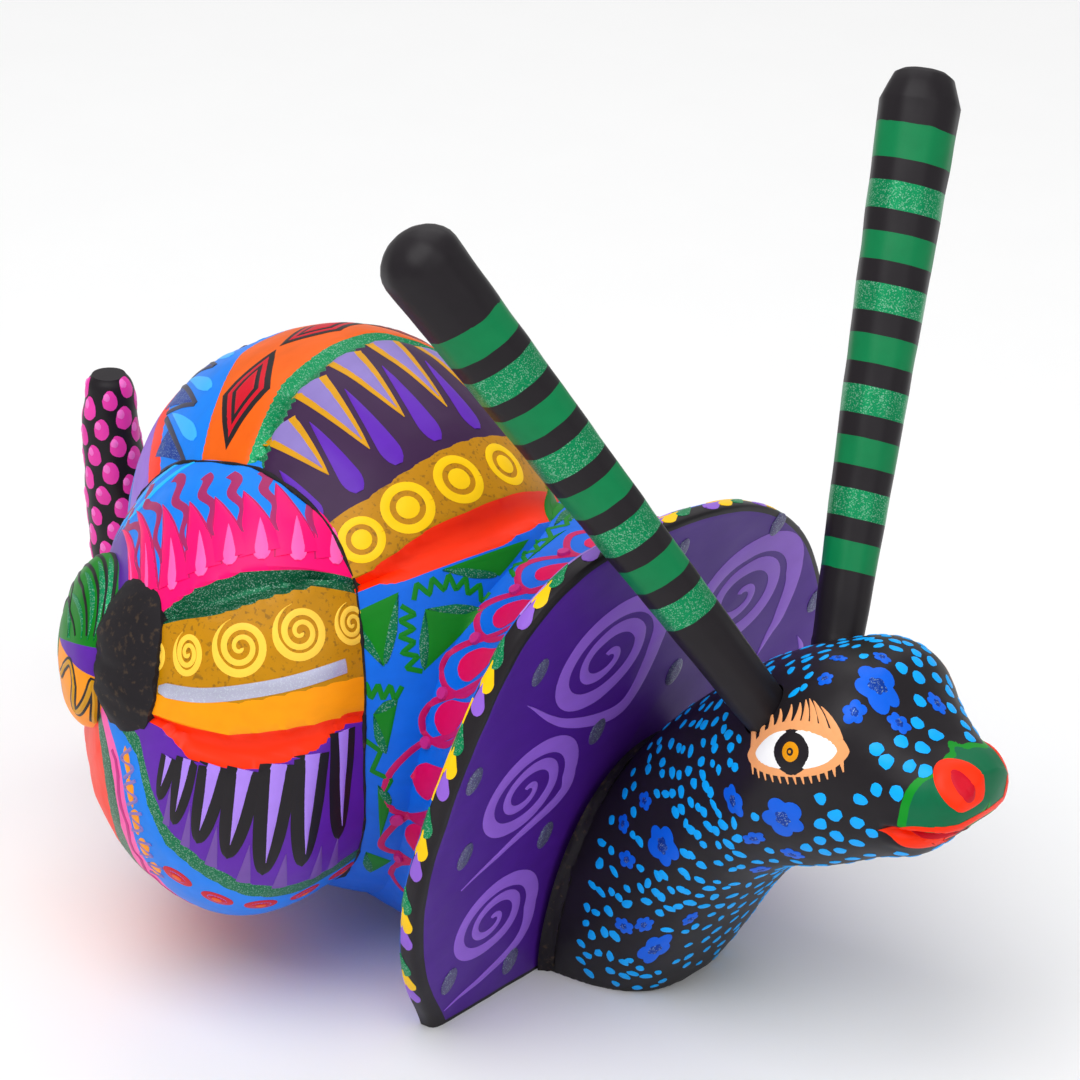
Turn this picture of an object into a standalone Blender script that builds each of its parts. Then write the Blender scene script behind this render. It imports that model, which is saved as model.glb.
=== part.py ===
"""Carved and painted wooden snail: a coiled shell with a flared rim, a neck and head, two plug-in antennae.

The snail heads along +X, its left side is +Y and +Z is up.  Lengths are in millimetres in the design and
are turned into metres when a mesh is made.  The working frame has its origin on the ground under the middle
of the shell's rim; the last step moves the whole snail so that the origin is at the bottom centre of its box.
"""
import math

import bmesh
import bpy
import numpy as np
from mathutils import Matrix, Vector

MM = 0.001
GAP = 0.3                     # clearance between pieces that meet

# body whorl: a wheel-like dome on a nearly level coil axis that points to the snail's right
BODY_CENTRE = np.array([-40.3, -9.3, 47.4])
BODY_AXIS = np.array([-0.485, -0.837, -0.232])
BODY_RADIUS = 50.0
BODY_LIFT = 7.5               # how much flatter the dome is underneath
BODY_HALF_WIDTH = 36.0
BODY_ROUNDNESS = 0.86         # 1 is an ellipse, smaller is boxier

# second whorl: a bun whose coil axis points back, right and a little up
BUN_AXIS = np.array([-0.65, -0.73, 0.175])
BUN_FACE = np.array([-57.5, -54.5, 52.5])
BUN_PROFILE = (               # depth below the face, height above and below the apex line, half breadth
    (0.0, 15.0, 15.5, 15.0), (2.0, 22.5, 21.5, 21.0), (6.0, 29.5, 27.5, 27.0), (11.0, 34.5, 32.3, 31.5),
    (18.0, 38.2, 36.2, 35.0), (25.0, 39.4, 37.6, 36.2), (32.0, 38.3, 36.0, 35.0), (39.0, 34.5, 32.0, 30.5),
    (46.0, 28.5, 26.0, 25.0),
)

BUN_ROUNDNESS = 0.9

# apex whorl: distance out from the second whorl's face, radius
APEX_RISE = 3.6
APEX_PROFILE = ((-6.0, 14.2), (0.0, 14.2), (2.6, 13.2), (4.8, 10.4), (6.2, 6.0))

# rim and front of the shell: outlines across the snail, as (sideways, up) in a plane that leans forward
RIM_LEAN = math.radians(15.0)
RIM_OUTLINE = (
    (-40, 0), (-48.5, 15), (-53, 32), (-52, 48), (-48.5, 64), (-42, 79.5), (-29, 87.5),
    (-8, 87), (12, 82.5), (28, 72.5), (40, 57.5), (46.5, 40), (46, 20), (38, 0),
)
THROAT_OUTLINE = (
    (-12, 0), (-24, 6), (-33.5, 18), (-39, 34), (-39.5, 50), (-35, 64), (-24, 74),
    (-7, 77), (10, 74), (22, 67), (31, 55), (35, 40), (32, 20), (20, 0),
)
RIM_THICKNESS = 3.2
FLARE_LENGTH = 12.0
FRONT_LENGTH = 44.0
BELLY_LIFT = 20.0

# neck and head: (top x, top z), (bottom x, bottom z), half width, middle y
NECK_STATIONS = (
    ((10.6, 38.5), (-3.0, -14.0), 16.5, 1.0),
    ((21.0, 50.0), (8.0, -11.0), 17.5, 1.0),
    ((33.0, 60.0), (19.3, -1.6), 18.0, 0.5),
    ((44.0, 66.5), (30.8, 16.0), 18.5, 0.0),
    ((53.0, 70.0), (42.5, 29.5), 19.0, -1.0),
    ((60.0, 69.8), (54.5, 35.0), 17.5, -2.0),
    ((65.5, 65.4), (64.0, 39.8), 14.0, -3.2),
    ((71.5, 61.8), (71.0, 43.0), 11.0, -4.4),
    ((76.6, 60.2), (76.0, 47.0), 8.8, -5.0),
    ((79.6, 58.8), (79.2, 51.0), 6.2, -5.4),
)
NECK_ROUNDNESS = 0.9

# antennae: turned sticks, thicker at the tip, whose tapered ends sit in drilled sockets
ANTENNA_LENGTH = 92.0
ANTENNA_BASE_RADIUS = 4.1
ANTENNA_TIP_RADIUS = 6.6
PEG_DEPTH = 14.0
PEG_END_RADIUS = 3.3
SOCKET_CLEARANCE = 0.35
ANTENNAE = {                  # base on the head, tip
    "antenna_right": ((42.4, -14.0, 63.2), (3.5, -48.0, 137.0), "round"),
    "antenna_left": ((41.0, 9.0, 62.5), (23.0, 52.0, 137.5), "chamfered"),
}

# tail: a tapered stick that rises behind the shell: middle, radius
TAIL_STATIONS = (
    ((-52.0, 8.0, 13.0), 9.0), ((-70.0, 8.0, 9.5), 8.8), ((-86.0, 7.0, 9.0), 8.5), ((-99.0, 4.5, 16.0), 7.6),
    ((-105.5, 2.5, 31.0), 6.8), ((-107.5, 1.0, 47.0), 5.9), ((-108.0, 0.0, 60.0), 5.0),
    ((-108.0, 0.0, 68.0), 4.2), ((-108.0, 0.0, 70.5), 3.0),
)

# hidden joining pieces: middle, direction, radius, length
NECK_DOWEL = ((3.0, 2.0, 20.0), (1.0, 0.0, 0.1), 4.0, 30.0)
BUN_DOWEL = (-13.0, -4.0, 3.5, 18.0)          # out from the face, rise, radius, length
APEX_PIN = (-3.0, 5.0, 0.9, 12.0)
TAIL_PEG = ((-61.0, 7.5, 15.0), (-1.0, 0.0, -0.2), 2.0, 22.0)

# filler in the seams: how far it stands off the pieces
SEAM_REACH = 1.7
NECK_FILLER = (2.4, 2.1, 1.4, 0.7)

SIDES = 40                    # corners round the shell's whorls


def unit(vector):
    """The vector scaled to length one."""
    vector = np.asarray(vector, float)
    return vector / np.linalg.norm(vector)


def axis_frame(axis):
    """Two directions square to an axis: the most upward one, and the one a quarter turn on."""
    axis = unit(axis)
    up = unit(np.array([0.0, 0.0, 1.0]) - axis[2] * axis)
    return up, np.cross(axis, up)


def power(value, exponent):
    """A signed power, for superellipses."""
    return math.copysign(abs(value) ** exponent, value)


def smooth_curve(points, count):
    """Points evenly spaced in parameter on a Catmull-Rom curve through the given ones."""
    points = np.asarray(points, float)
    padded = np.vstack([2 * points[0] - points[1], points, 2 * points[-1] - points[-2]])
    result = []
    for step in np.linspace(0, len(points) - 1, count):
        start = min(int(step), len(points) - 2)
        t = step - start
        a, b, c, d = padded[start:start + 4]
        result.append(0.5 * (2 * b + (c - a) * t + (2 * a - 5 * b + 4 * c - d) * t ** 2
                             + (3 * b - a - 3 * c + d) * t ** 3))
    return np.array(result)


def collection(name):
    """A new collection in the scene."""
    made = bpy.data.collections.new(name)
    bpy.context.scene.collection.children.link(made)
    return made


def material(name, colour, roughness, metallic=0.0):
    """A Principled material."""
    made = bpy.data.materials.new(name)
    made.use_nodes = True
    shader = made.node_tree.nodes["Principled BSDF"]
    shader.inputs["Base Color"].default_value = (*colour, 1.0)
    shader.inputs["Roughness"].default_value = roughness
    shader.inputs["Metallic"].default_value = metallic
    return made


def loft(name, rings, surface, group, start=None, end=None):
    """One closed solid through rings of equal size, closed by a middle point at each end."""
    rings = [np.asarray(ring, float) for ring in rings]
    start = rings[0].mean(axis=0) if start is None else start
    end = rings[-1].mean(axis=0) if end is None else end
    mesh = bmesh.new()
    rows = [[mesh.verts.new(Vector(point) * MM) for point in ring] for ring in rings]
    first = mesh.verts.new(Vector(start) * MM)
    last = mesh.verts.new(Vector(end) * MM)
    count = len(rows[0])
    for index in range(count):
        after = (index + 1) % count
        for row, following in zip(rows, rows[1:]):
            mesh.faces.new((row[index], row[after], following[after], following[index]))
        mesh.faces.new((first, rows[0][after], rows[0][index]))
        mesh.faces.new((last, rows[-1][index], rows[-1][after]))
    bmesh.ops.recalc_face_normals(mesh, faces=mesh.faces)
    return mesh_object(name, mesh, surface, group)


def mesh_object(name, mesh, surface, group):
    """An object in a collection from a bmesh, shaded smooth over shallow edges."""
    data = bpy.data.meshes.new(name)
    mesh.to_mesh(data)
    mesh.free()
    data.materials.append(surface)
    data.shade_smooth()
    data.set_sharp_from_angle(angle=math.radians(40))
    made = bpy.data.objects.new(name, data)
    group.objects.link(made)
    return made


def cylinder(name, middle, direction, radius, length, surface, group, sides=16):
    """A round rod by its middle, direction, radius and length."""
    mesh = bmesh.new()
    bmesh.ops.create_cone(mesh, cap_ends=True, segments=sides, radius1=radius * MM, radius2=radius * MM,
                          depth=length * MM)
    made = mesh_object(name, mesh, surface, group)
    made.matrix_world = placed(middle, direction)
    return made


def placed(point, direction):
    """The matrix that stands local Z along a direction, at a point."""
    turn = Vector(direction).to_track_quat("Z", "Y").to_matrix().to_4x4()
    return Matrix.Translation(Vector(point) * MM) @ turn


def as_cutter(made):
    """Mark an object as a tool that the build leaves out."""
    made.hide_render = True
    made.display_type = "WIRE"
    return made


def boolean(target, tool, operation="DIFFERENCE"):
    """Cut or join a target with a tool."""
    made = target.modifiers.new(f"{operation.lower()}_{tool.name}", "BOOLEAN")
    made.operation = operation
    made.solver = "EXACT"
    made.object = tool


def on_ground(points):
    """Points with the underside sanded flat on the ground."""
    points = np.array(points, float)
    points[:, 2] = np.maximum(points[:, 2], 0.0)
    return points


def body_whorl_rings(grow=0.0):
    """Rings of the body whorl's dome, from its left end to its right end."""
    axis = unit(BODY_AXIS)
    up, side = axis_frame(axis)
    rings = []
    for tilt in np.linspace(-math.pi / 2, math.pi / 2, 19)[1:-1]:
        along = (BODY_HALF_WIDTH + grow) * power(math.sin(tilt), BODY_ROUNDNESS)
        share = power(math.cos(tilt), BODY_ROUNDNESS)
        ring = []
        for turn in np.linspace(0, math.tau, SIDES, endpoint=False):
            reach = BODY_RADIUS + grow - BODY_LIFT * ((1 - math.cos(turn)) / 2) ** 2
            ring.append(BODY_CENTRE + axis * along
                        + share * reach * (up * math.cos(turn) + side * math.sin(turn)))
        rings.append(ring)
    ends = [BODY_CENTRE + axis * sign * (BODY_HALF_WIDTH + grow) for sign in (-1, 1)]
    return rings, ends


def body_whorl(name, surface, group, grow=0.0):
    """The dome of the body whorl."""
    rings, ends = body_whorl_rings(grow)
    return loft(name, rings, surface, group, start=ends[0], end=ends[1])


def second_whorl(name, surface, group, grow=0.0):
    """The bun of the second whorl, from its face inwards; its sections are slightly boxy."""
    axis = unit(BUN_AXIS)
    up, side = axis_frame(axis)
    rings = []
    for depth, above, below, breadth in smooth_curve(BUN_PROFILE, 15):
        middle = BUN_FACE - axis * (depth - grow)
        ring = []
        for turn in np.linspace(0, math.tau, SIDES, endpoint=False):
            height = (above if math.cos(turn) > 0 else below) + grow
            ring.append(middle + up * height * power(math.cos(turn), BUN_ROUNDNESS)
                        + side * (breadth + grow) * power(math.sin(turn), BUN_ROUNDNESS))
        rings.append(ring)
    return loft(name, rings, surface, group, start=BUN_FACE + axis * (1.0 + grow))


def front_section(flare, lean, back, grow=0.0, lift=0.0):
    """One closed section of the shell's front: flare 1 is the rim's outline, 0 is the throat's.

    The lift is how far the belly is off the ground.
    """
    outline = [np.array(rim) * flare + np.array(throat) * (1 - flare)
               for rim, throat in zip(RIM_OUTLINE, THROAT_OUTLINE)]
    curve = smooth_curve(outline, 37)
    middle = np.array([0.0, 45.0])
    curve = curve + grow * (curve - middle) / np.linalg.norm(curve - middle, axis=1)[:, None]
    under = [curve[-1] + (curve[0] - curve[-1]) * step / 8 for step in range(1, 8)]
    ring = []
    for sideways, height in [*curve, *under]:
        height = max(height, lift)
        x = height * math.sin(lean) - back
        ring.append((x, sideways, height * math.cos(lean)))
    return ring


def shell_front(name, surface, group, grow=0.0):
    """The shell's front: a flared rim with a rounded edge on a throat that runs back into the whorl."""
    rings = [front_section(0.93, RIM_LEAN, -grow, grow), front_section(1.0, RIM_LEAN, 0.8 - grow, grow)]
    rings.append(front_section(1.0, RIM_LEAN, RIM_THICKNESS, grow))
    for step in np.linspace(0.12, 1.0, 7):
        flare = (1 - step) ** 2.2
        back = RIM_THICKNESS + FLARE_LENGTH * step
        rings.append(front_section(flare * 0.92, RIM_LEAN * (1 - 0.2 * step), back, grow))
    for step in (0.3, 0.65, 1.0):
        back = RIM_THICKNESS + FLARE_LENGTH + (FRONT_LENGTH - FLARE_LENGTH) * step
        rings.append(front_section(-0.35 * step, RIM_LEAN * 0.8 * (1 - step), back, grow, BELLY_LIFT * step))
    return loft(name, rings, surface, group)


def neck_section(top, bottom, half_width, middle, sides=28):
    """One oval section of the neck or head between its top and bottom points."""
    top, bottom = np.array([top[0], middle, top[1]]), np.array([bottom[0], middle, bottom[1]])
    centre, reach = (top + bottom) / 2, (top - bottom) / 2
    ring = []
    for turn in np.linspace(0, math.tau, sides, endpoint=False):
        point = centre + reach * power(math.cos(turn), NECK_ROUNDNESS)
        point[1] += half_width * power(math.sin(turn), NECK_ROUNDNESS)
        ring.append(point)
    return ring


def neck_rings(count, grow=0.0):
    """Sections of the neck and head from the rim to the muzzle, evenly spread over the stations."""
    table = [(*top, *bottom, half, middle) for top, bottom, half, middle in NECK_STATIONS]
    return [neck_section((tx, tz + grow), (bx, bz), half + grow, middle)
            for tx, tz, bx, bz, half, middle in smooth_curve(table, count)]


def head_neck(surface, group):
    """The neck, which rises forward from the rim, and the head with its blunt muzzle."""
    rings = [on_ground(ring) for ring in neck_rings(22)]
    muzzle = np.mean(rings[-1], axis=0) + np.array([1.4, -0.2, 0.0])
    return loft("head_neck", rings, surface, group, end=muzzle)


def neck_filler(surface, group):
    """The fillet of filler round the neck's root, thinning away from the rim."""
    rings = [on_ground(neck_rings(91, grow)[index]) for index, grow in enumerate(NECK_FILLER)]
    return loft("neck_seam_filler", rings, surface, group)


def neck_room(surface, group):
    """The room that the neck takes in its filler, longer than the filler both ways."""
    rings = neck_rings(91, GAP)[:10]
    behind = 3 * np.array(rings[0]) - 2 * np.array(rings[1])
    return loft("neck_room", [behind, *rings], surface, group)


def antenna_profile(finish):
    """Half outline of an antenna, from its tip down to the end of its tapered peg."""
    tip = ANTENNA_TIP_RADIUS
    if finish == "round":
        cap = [(tip * math.sin(turn), ANTENNA_LENGTH - tip * 0.8 * (1 - math.cos(turn)))
               for turn in np.radians((0, 25, 50, 70, 90))]
    else:
        cap = [(0.0, ANTENNA_LENGTH), (0.55 * tip, ANTENNA_LENGTH - 0.4), (0.75 * tip, ANTENNA_LENGTH - 1.2),
               (tip, ANTENNA_LENGTH - 5.5)]
    return cap + [(ANTENNA_BASE_RADIUS, 0.0), (PEG_END_RADIUS, -PEG_DEPTH), (0.0, -PEG_DEPTH)]


def antenna(name, base, tip, finish, surface, group):
    """A turned antenna whose origin and Z axis are on the line it is pulled out along."""
    mesh = bmesh.new()
    verts = [mesh.verts.new((x * MM, 0.0, z * MM)) for x, z in antenna_profile(finish)]
    for upper, lower in zip(verts, verts[1:]):
        mesh.edges.new((upper, lower))
    made = mesh_object(name, mesh, surface, group)
    screw = made.modifiers.new("turned", "SCREW")
    screw.axis = "Z"
    screw.angle = math.tau
    screw.steps = screw.render_steps = 24
    screw.use_merge_vertices = True
    screw.merge_threshold = 0.00001
    screw.use_smooth_shade = True
    made.matrix_world = placed(base, np.subtract(tip, base))
    return made


def tail(surface, group):
    """The tail, a bent tapered stick with a blunt end."""
    table = smooth_curve([(*middle, radius) for middle, radius in TAIL_STATIONS], 18)
    rings = []
    for index, (x, y, z, radius) in enumerate(table):
        ahead = table[min(index + 1, len(table) - 1)][:3] - table[max(index - 1, 0)][:3]
        along = unit(ahead)
        side = unit(np.cross(along, (0.0, 1.0, 0.0)))
        other = np.cross(along, side)
        rings.append([np.array([x, y, z]) + radius * (side * math.cos(turn) + other * math.sin(turn))
                      for turn in np.linspace(0, math.tau, 16, endpoint=False)])
    return loft("tail", [on_ground(ring) for ring in rings], surface, group)


def apex_ring(out, radius, rise, sides=24):
    """A circle round the shell's apex line, some way out from the second whorl's face."""
    axis = unit(BUN_AXIS)
    up, side = axis_frame(axis)
    middle = BUN_FACE + axis * out + up * rise
    return [middle + radius * (up * math.cos(turn) + side * math.sin(turn))
            for turn in np.linspace(0, math.tau, sides, endpoint=False)]


def apex_whorl(name, surface, group, grow=0.0):
    """The small last whorl at the apex of the shell."""
    rings = [apex_ring(out, radius + grow, APEX_RISE) for out, radius in APEX_PROFILE]
    last_out = APEX_PROFILE[-1][0] + 0.6 + grow
    return loft(name, rings, surface, group, end=np.mean(apex_ring(last_out, 1.0, APEX_RISE), axis=0))


def apex_filler(surface, group):
    """The collar of filler that beds the apex whorl on the second whorl."""
    rings = [apex_ring(out, radius, APEX_RISE - 2.0) for out, radius in ((-8.0, 20.5), (-0.5, 19.5), (1.6, 16.5))]
    return loft("apex_filler", rings, surface, group)


def coil_rod(out, rise, radius, length):
    """A rod along the second whorl's axis, placed from its face, as middle, direction, radius, length."""
    axis = unit(BUN_AXIS)
    up, _ = axis_frame(axis)
    return BUN_FACE + axis * out + up * rise, axis, radius, length


def build():
    """Make every piece, then move the snail so that its box stands on the origin."""
    for old in list(bpy.data.objects):
        bpy.data.objects.remove(old, do_unlink=True)
    parts = collection("alebrije_snail")
    cutters = collection("cutters")
    blue = material("shell_paint", (0.02, 0.2, 0.65), 0.5)
    ochre = material("second_whorl_paint", (0.5, 0.25, 0.0), 0.5)
    green = material("apex_paint", (0.0, 0.3, 0.1), 0.5)
    black = material("head_paint", (0.02, 0.015, 0.02), 0.45)
    stripe = material("antenna_paint", (0.0, 0.2, 0.06), 0.45)
    pink = material("tail_paint", (0.6, 0.05, 0.35), 0.5)
    filler = material("black_filler", (0.02, 0.017, 0.016), 0.85)
    wood = material("bare_wood", (0.6, 0.42, 0.25), 0.8)
    steel = material("nail_steel", (0.5, 0.5, 0.5), 0.35, 1.0)

    # shell
    shell = body_whorl("shell_body_whorl", blue, parts)
    boolean(shell, as_cutter(shell_front("shell_front", blue, cutters)), "UNION")
    bun = second_whorl("shell_second_whorl", ochre, parts)
    body_room = as_cutter(body_whorl("body_whorl_room", blue, cutters, GAP))
    front_room = as_cutter(shell_front("shell_front_room", blue, cutters, GAP))
    bun_room = as_cutter(second_whorl("second_whorl_room", ochre, cutters, GAP))
    boolean(bun, body_room)
    boolean(bun, front_room)
    apex = apex_whorl("shell_apex_whorl", green, parts)
    boolean(apex, bun_room)
    bed = apex_filler(filler, parts)
    boolean(bed, bun_room)
    boolean(bed, as_cutter(apex_whorl("apex_room", green, cutters, GAP)))
    seam = second_whorl("whorl_seam_filler", filler, parts, SEAM_REACH)
    boolean(seam, as_cutter(body_whorl("body_whorl_reach", filler, cutters, SEAM_REACH)), "INTERSECT")
    for room in (bun_room, body_room, front_room):
        boolean(seam, room)

    # neck, head and antennae
    head = head_neck(black, parts)
    boolean(head, front_room)
    putty = neck_filler(filler, parts)
    boolean(putty, as_cutter(neck_room(black, cutters)))
    boolean(putty, front_room)
    for name, (base, tip, finish) in ANTENNAE.items():
        antenna(name, base, tip, finish, stripe, parts)
        direction = unit(np.subtract(tip, base))
        middle = np.array(base) + direction * (20.0 - PEG_DEPTH - 1.0) / 2
        bore = cylinder(f"{name}_socket", middle, direction, ANTENNA_BASE_RADIUS + SOCKET_CLEARANCE,
                        20.0 + PEG_DEPTH + 1.0, wood, cutters, sides=24)
        boolean(head, as_cutter(bore))

    # tail
    rear = tail(pink, parts)
    boolean(rear, body_room)

    # hidden joining pieces, each in a bore that crosses its seam
    joiners = {
        "neck_dowel": (NECK_DOWEL, wood, (shell, head)),
        "second_whorl_dowel": (coil_rod(*BUN_DOWEL), wood, (shell, bun)),
        "apex_pin": (coil_rod(*APEX_PIN), steel, (bun, apex)),
        "tail_peg": (TAIL_PEG, wood, (shell, rear)),
    }
    for name, ((middle, direction, radius, length), surface, hosts) in joiners.items():
        cylinder(name, middle, direction, radius, length, surface, parts)
        bore = as_cutter(cylinder(f"{name}_bore", middle, direction, radius + GAP, length + 2 * GAP,
                                  surface, cutters))
        for host in hosts:
            boolean(host, bore)

    stand_on_origin([*parts.objects, *cutters.objects], parts.objects)


def stand_on_origin(everything, pieces):
    """Parent all to an empty that puts the bottom centre of the pieces' box at the origin."""
    bpy.context.view_layer.update()
    shapes = bpy.context.evaluated_depsgraph_get()
    corners = []
    for piece in pieces:
        ready = piece.evaluated_get(shapes)
        corners += [ready.matrix_world @ vertex.co for vertex in ready.data.vertices]
    corners = np.array(corners)
    low, high = corners.min(axis=0), corners.max(axis=0)
    anchor = bpy.data.objects.new("snail_anchor", None)
    bpy.context.scene.collection.objects.link(anchor)
    for made in everything:
        made.parent = anchor
    anchor.location = (-(low[0] + high[0]) / 2, -(low[1] + high[1]) / 2, -low[2])


build()
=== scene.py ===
"""Looks of a carved, hand-painted wooden snail: coiled shell, flared collar, head with two antennae, tail.

Shapes are built in millimetres in the snail's own frame, whose origin is on the ground under the middle of
the shell's rim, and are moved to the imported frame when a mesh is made.  The carved surfaces repeat the CAD's
at a finer grain, with carved grooves and knife facets.  Base colours are bands that follow a number kept on
each surface; every ornament is a thin closed stroke of paint that lies on the carved surface.
"""

import math
import random

import bpy
import numpy as np
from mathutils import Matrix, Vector
from mathutils import noise as carving_noise
from mathutils.bvhtree import BVHTree


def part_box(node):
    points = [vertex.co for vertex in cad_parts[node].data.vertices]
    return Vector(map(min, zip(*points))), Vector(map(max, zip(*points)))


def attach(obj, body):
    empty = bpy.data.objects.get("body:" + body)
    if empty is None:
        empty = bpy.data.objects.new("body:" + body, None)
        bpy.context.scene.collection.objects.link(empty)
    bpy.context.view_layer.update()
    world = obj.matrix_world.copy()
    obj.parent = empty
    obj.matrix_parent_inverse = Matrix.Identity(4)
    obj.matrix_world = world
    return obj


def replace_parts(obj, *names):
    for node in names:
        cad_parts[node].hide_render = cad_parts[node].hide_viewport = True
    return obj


MM = 0.001
SEED = 7
SNAIL = "snail"               # the body that all but the antennae ride on
SMOOTH_ANGLE = math.radians(40)

# body whorl: a wheel-like dome on a coil axis that points to the snail's right
BODY_CENTRE = np.array([-40.3, -9.3, 47.4])
BODY_AXIS = np.array([-0.485, -0.837, -0.232])
BODY_RADIUS = 50.0
BODY_LIFT = 7.5
BODY_HALF_WIDTH = 36.0
BODY_ROUNDNESS = 0.86

# second whorl: depth below the face, height above and below the apex line, half breadth
BUN_AXIS = np.array([-0.65, -0.73, 0.175])
BUN_FACE = np.array([-57.5, -54.5, 52.5])
BUN_PROFILE = (
    (0.0, 15.0, 15.5, 15.0), (2.0, 22.5, 21.5, 21.0), (6.0, 29.5, 27.5, 27.0), (11.0, 34.5, 32.3, 31.5),
    (18.0, 38.2, 36.2, 35.0), (25.0, 39.4, 37.6, 36.2), (32.0, 38.3, 36.0, 35.0), (39.0, 34.5, 32.0, 30.5),
    (46.0, 28.5, 26.0, 25.0),
)
BUN_ROUNDNESS = 0.9
BUN_SEAM = 150.0              # where the bun's bands start and end, behind the shell

# apex whorl: distance out from the second whorl's face, radius
APEX_RISE = 3.6
APEX_PROFILE = ((-6.0, 14.2), (0.0, 14.2), (2.6, 13.2), (4.8, 10.4), (6.2, 6.0))

# rim and front of the shell: outlines across the snail, as (sideways, up) in a plane that leans forward
RIM_LEAN = math.radians(15.0)
RIM_OUTLINE = np.array((
    (-40, 0), (-48.5, 15), (-53, 32), (-52, 48), (-48.5, 64), (-42, 79.5), (-29, 87.5),
    (-8, 87), (12, 82.5), (28, 72.5), (40, 57.5), (46.5, 40), (46, 20), (38, 0),
), float)
THROAT_OUTLINE = np.array((
    (-12, 0), (-24, 6), (-33.5, 18), (-39, 34), (-39.5, 50), (-35, 64), (-24, 74),
    (-7, 77), (10, 74), (22, 67), (31, 55), (35, 40), (32, 20), (20, 0),
), float)
RIM_MIDDLE = np.array([0.0, 45.0])
RIM_THICKNESS = 3.2
FLARE_LENGTH = 12.0
FRONT_LENGTH = 44.0
BELLY_LIFT = 20.0
COLLAR_DISH = 1.6             # how hollow the collar's face is

# neck and head: (top x, top z), (bottom x, bottom z), half width, middle y
NECK_STATIONS = (
    (10.6, 38.5, -3.0, -14.0, 16.5, 1.0), (21.0, 50.0, 8.0, -11.0, 17.5, 1.0),
    (33.0, 60.0, 19.3, -1.6, 18.0, 0.5), (44.0, 66.5, 30.8, 16.0, 18.5, 0.0),
    (53.0, 70.0, 42.5, 29.5, 19.0, -1.0), (60.0, 69.8, 54.5, 35.0, 17.5, -2.0),
    (65.5, 65.4, 64.0, 39.8, 14.0, -3.2), (71.5, 61.8, 71.0, 43.0, 11.0, -4.4),
    (76.6, 60.2, 76.0, 47.0, 8.8, -5.0), (79.6, 58.8, 79.2, 51.0, 6.2, -5.4),
)
NECK_ROUNDNESS = 0.9
MUZZLE_TIP = np.array([1.4, -0.2, 0.0])

# antennae: base on the head, tip, shape of the tip, where the first green ring starts, how many, their pitch
ANTENNA_LENGTH = 92.0
ANTENNA_BASE_RADIUS = 4.1
SOCKET_PLAY = 0.3
ANTENNA_TIP_RADIUS = 6.6
PEG_DEPTH = 14.0
PEG_END_RADIUS = 3.3
RING_WIDTH = 4.7
ANTENNAE = {
    "antenna_right": ((42.4, -14.0, 63.2), (3.5, -48.0, 137.0), "round", 19.0, 8, 7.75),
    "antenna_left": ((41.0, 9.0, 62.5), (23.0, 52.0, 137.5), "chamfered", 14.0, 9, 8.08),
}

# tail: x, y, z, radius
TAIL_STATIONS = (
    (-52.0, 8.0, 13.0, 9.0), (-70.0, 8.0, 9.5, 8.8), (-86.0, 7.0, 9.0, 8.5), (-99.0, 4.5, 16.0, 7.6),
    (-105.5, 2.5, 31.0, 6.8), (-107.5, 1.0, 47.0, 5.9), (-108.0, 0.0, 60.0, 5.0),
    (-108.0, 0.0, 68.0, 4.2), (-108.0, 0.0, 70.5, 3.0),
)

# camera: where it looks (snail's own frame), from where round the snail, how far, how wide
AIM = np.array([-15.6, 4.6, 65.2])
AZIMUTH = 40.0
ELEVATION = 25.0
DISTANCE = 800.0
LENS = 165.3
LAMPS = (                     # name, azimuth, elevation, distance and size in metres, watts
    ("key", 5, 62, 1.1, 0.9, 8.6), ("fill", 75, 35, 1.3, 1.0, 3.6), ("back", 215, 55, 1.3, 1.0, 3.6),
)
WORLD_STRENGTH = 0.47

PAINT_LIFT = 0.13             # how far a stroke of paint stands off the wood
PAINT_ROOT = 0.14             # how far its underside is sunk

COLOURS = {                   # as they look, 0 to 255
    "black": (30, 26, 30), "blue": (0, 104, 222), "sky": (0, 170, 255), "azure": (0, 128, 240),
    "mid_blue": (0, 96, 225), "deep_blue": (6, 60, 160), "cyan": (0, 185, 255), "glow_blue": (60, 180, 255),
    "red_orange": (255, 48, 0), "crimson": (205, 0, 34), "carmine": (222, 0, 88), "raspberry": (196, 16, 96),
    "magenta": (196, 40, 130), "squiggle": (165, 36, 100), "hot_pink": (255, 0, 112), "pink": (255, 96, 178),
    # the light pink that follows tail_pink is a painted highlight for the tail's dots
    "tail_pink": (238, 62, 172), "tail_light": (252, 120, 208), "ochre": (190, 130, 0),
    "yellow": (255, 205, 0), "butter": (255, 206, 70), "gold": (212, 150, 0), "amber": (230, 150, 0),
    "orange": (236, 96, 0), "marigold": (255, 155, 0), "peach": (242, 166, 108), "white": (250, 250, 250),
    "aubergine": (56, 26, 66), "violet": (76, 28, 140), "purple": (95, 35, 165), "drop_violet": (94, 32, 176),
    "lilac": (148, 98, 214), "pale_lilac": (172, 132, 238), "grey_lilac": (138, 120, 190),
    "dusk_lilac": (116, 78, 164), "teardrop": (175, 135, 232), "ring_green": (0, 122, 70),
    "glitter_green": (0, 136, 82), "leaf_green": (0, 124, 20), "dark_green": (0, 92, 58),
    "muzzle_green": (0, 104, 66), "muzzle_edge": (0, 142, 32), "strap_green": (0, 112, 70),
    "silver": (186, 186, 208), "gunmetal": (92, 86, 128), "slate": (62, 62, 84),
}


# ---------------------------------------------------------------- numbers and curves

def unit(vector):
    """The vector, or each row of vectors, scaled to length one."""
    vector = np.asarray(vector, float)
    return vector / np.maximum(np.linalg.norm(vector, axis=-1, keepdims=True), 1e-12)


def axis_frame(axis):
    """Two directions square to an axis: the most upward one, and the one a quarter turn on."""
    axis = unit(axis)
    up = unit(np.array([0.0, 0.0, 1.0]) - axis[2] * axis)
    return up, np.cross(axis, up)


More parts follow.
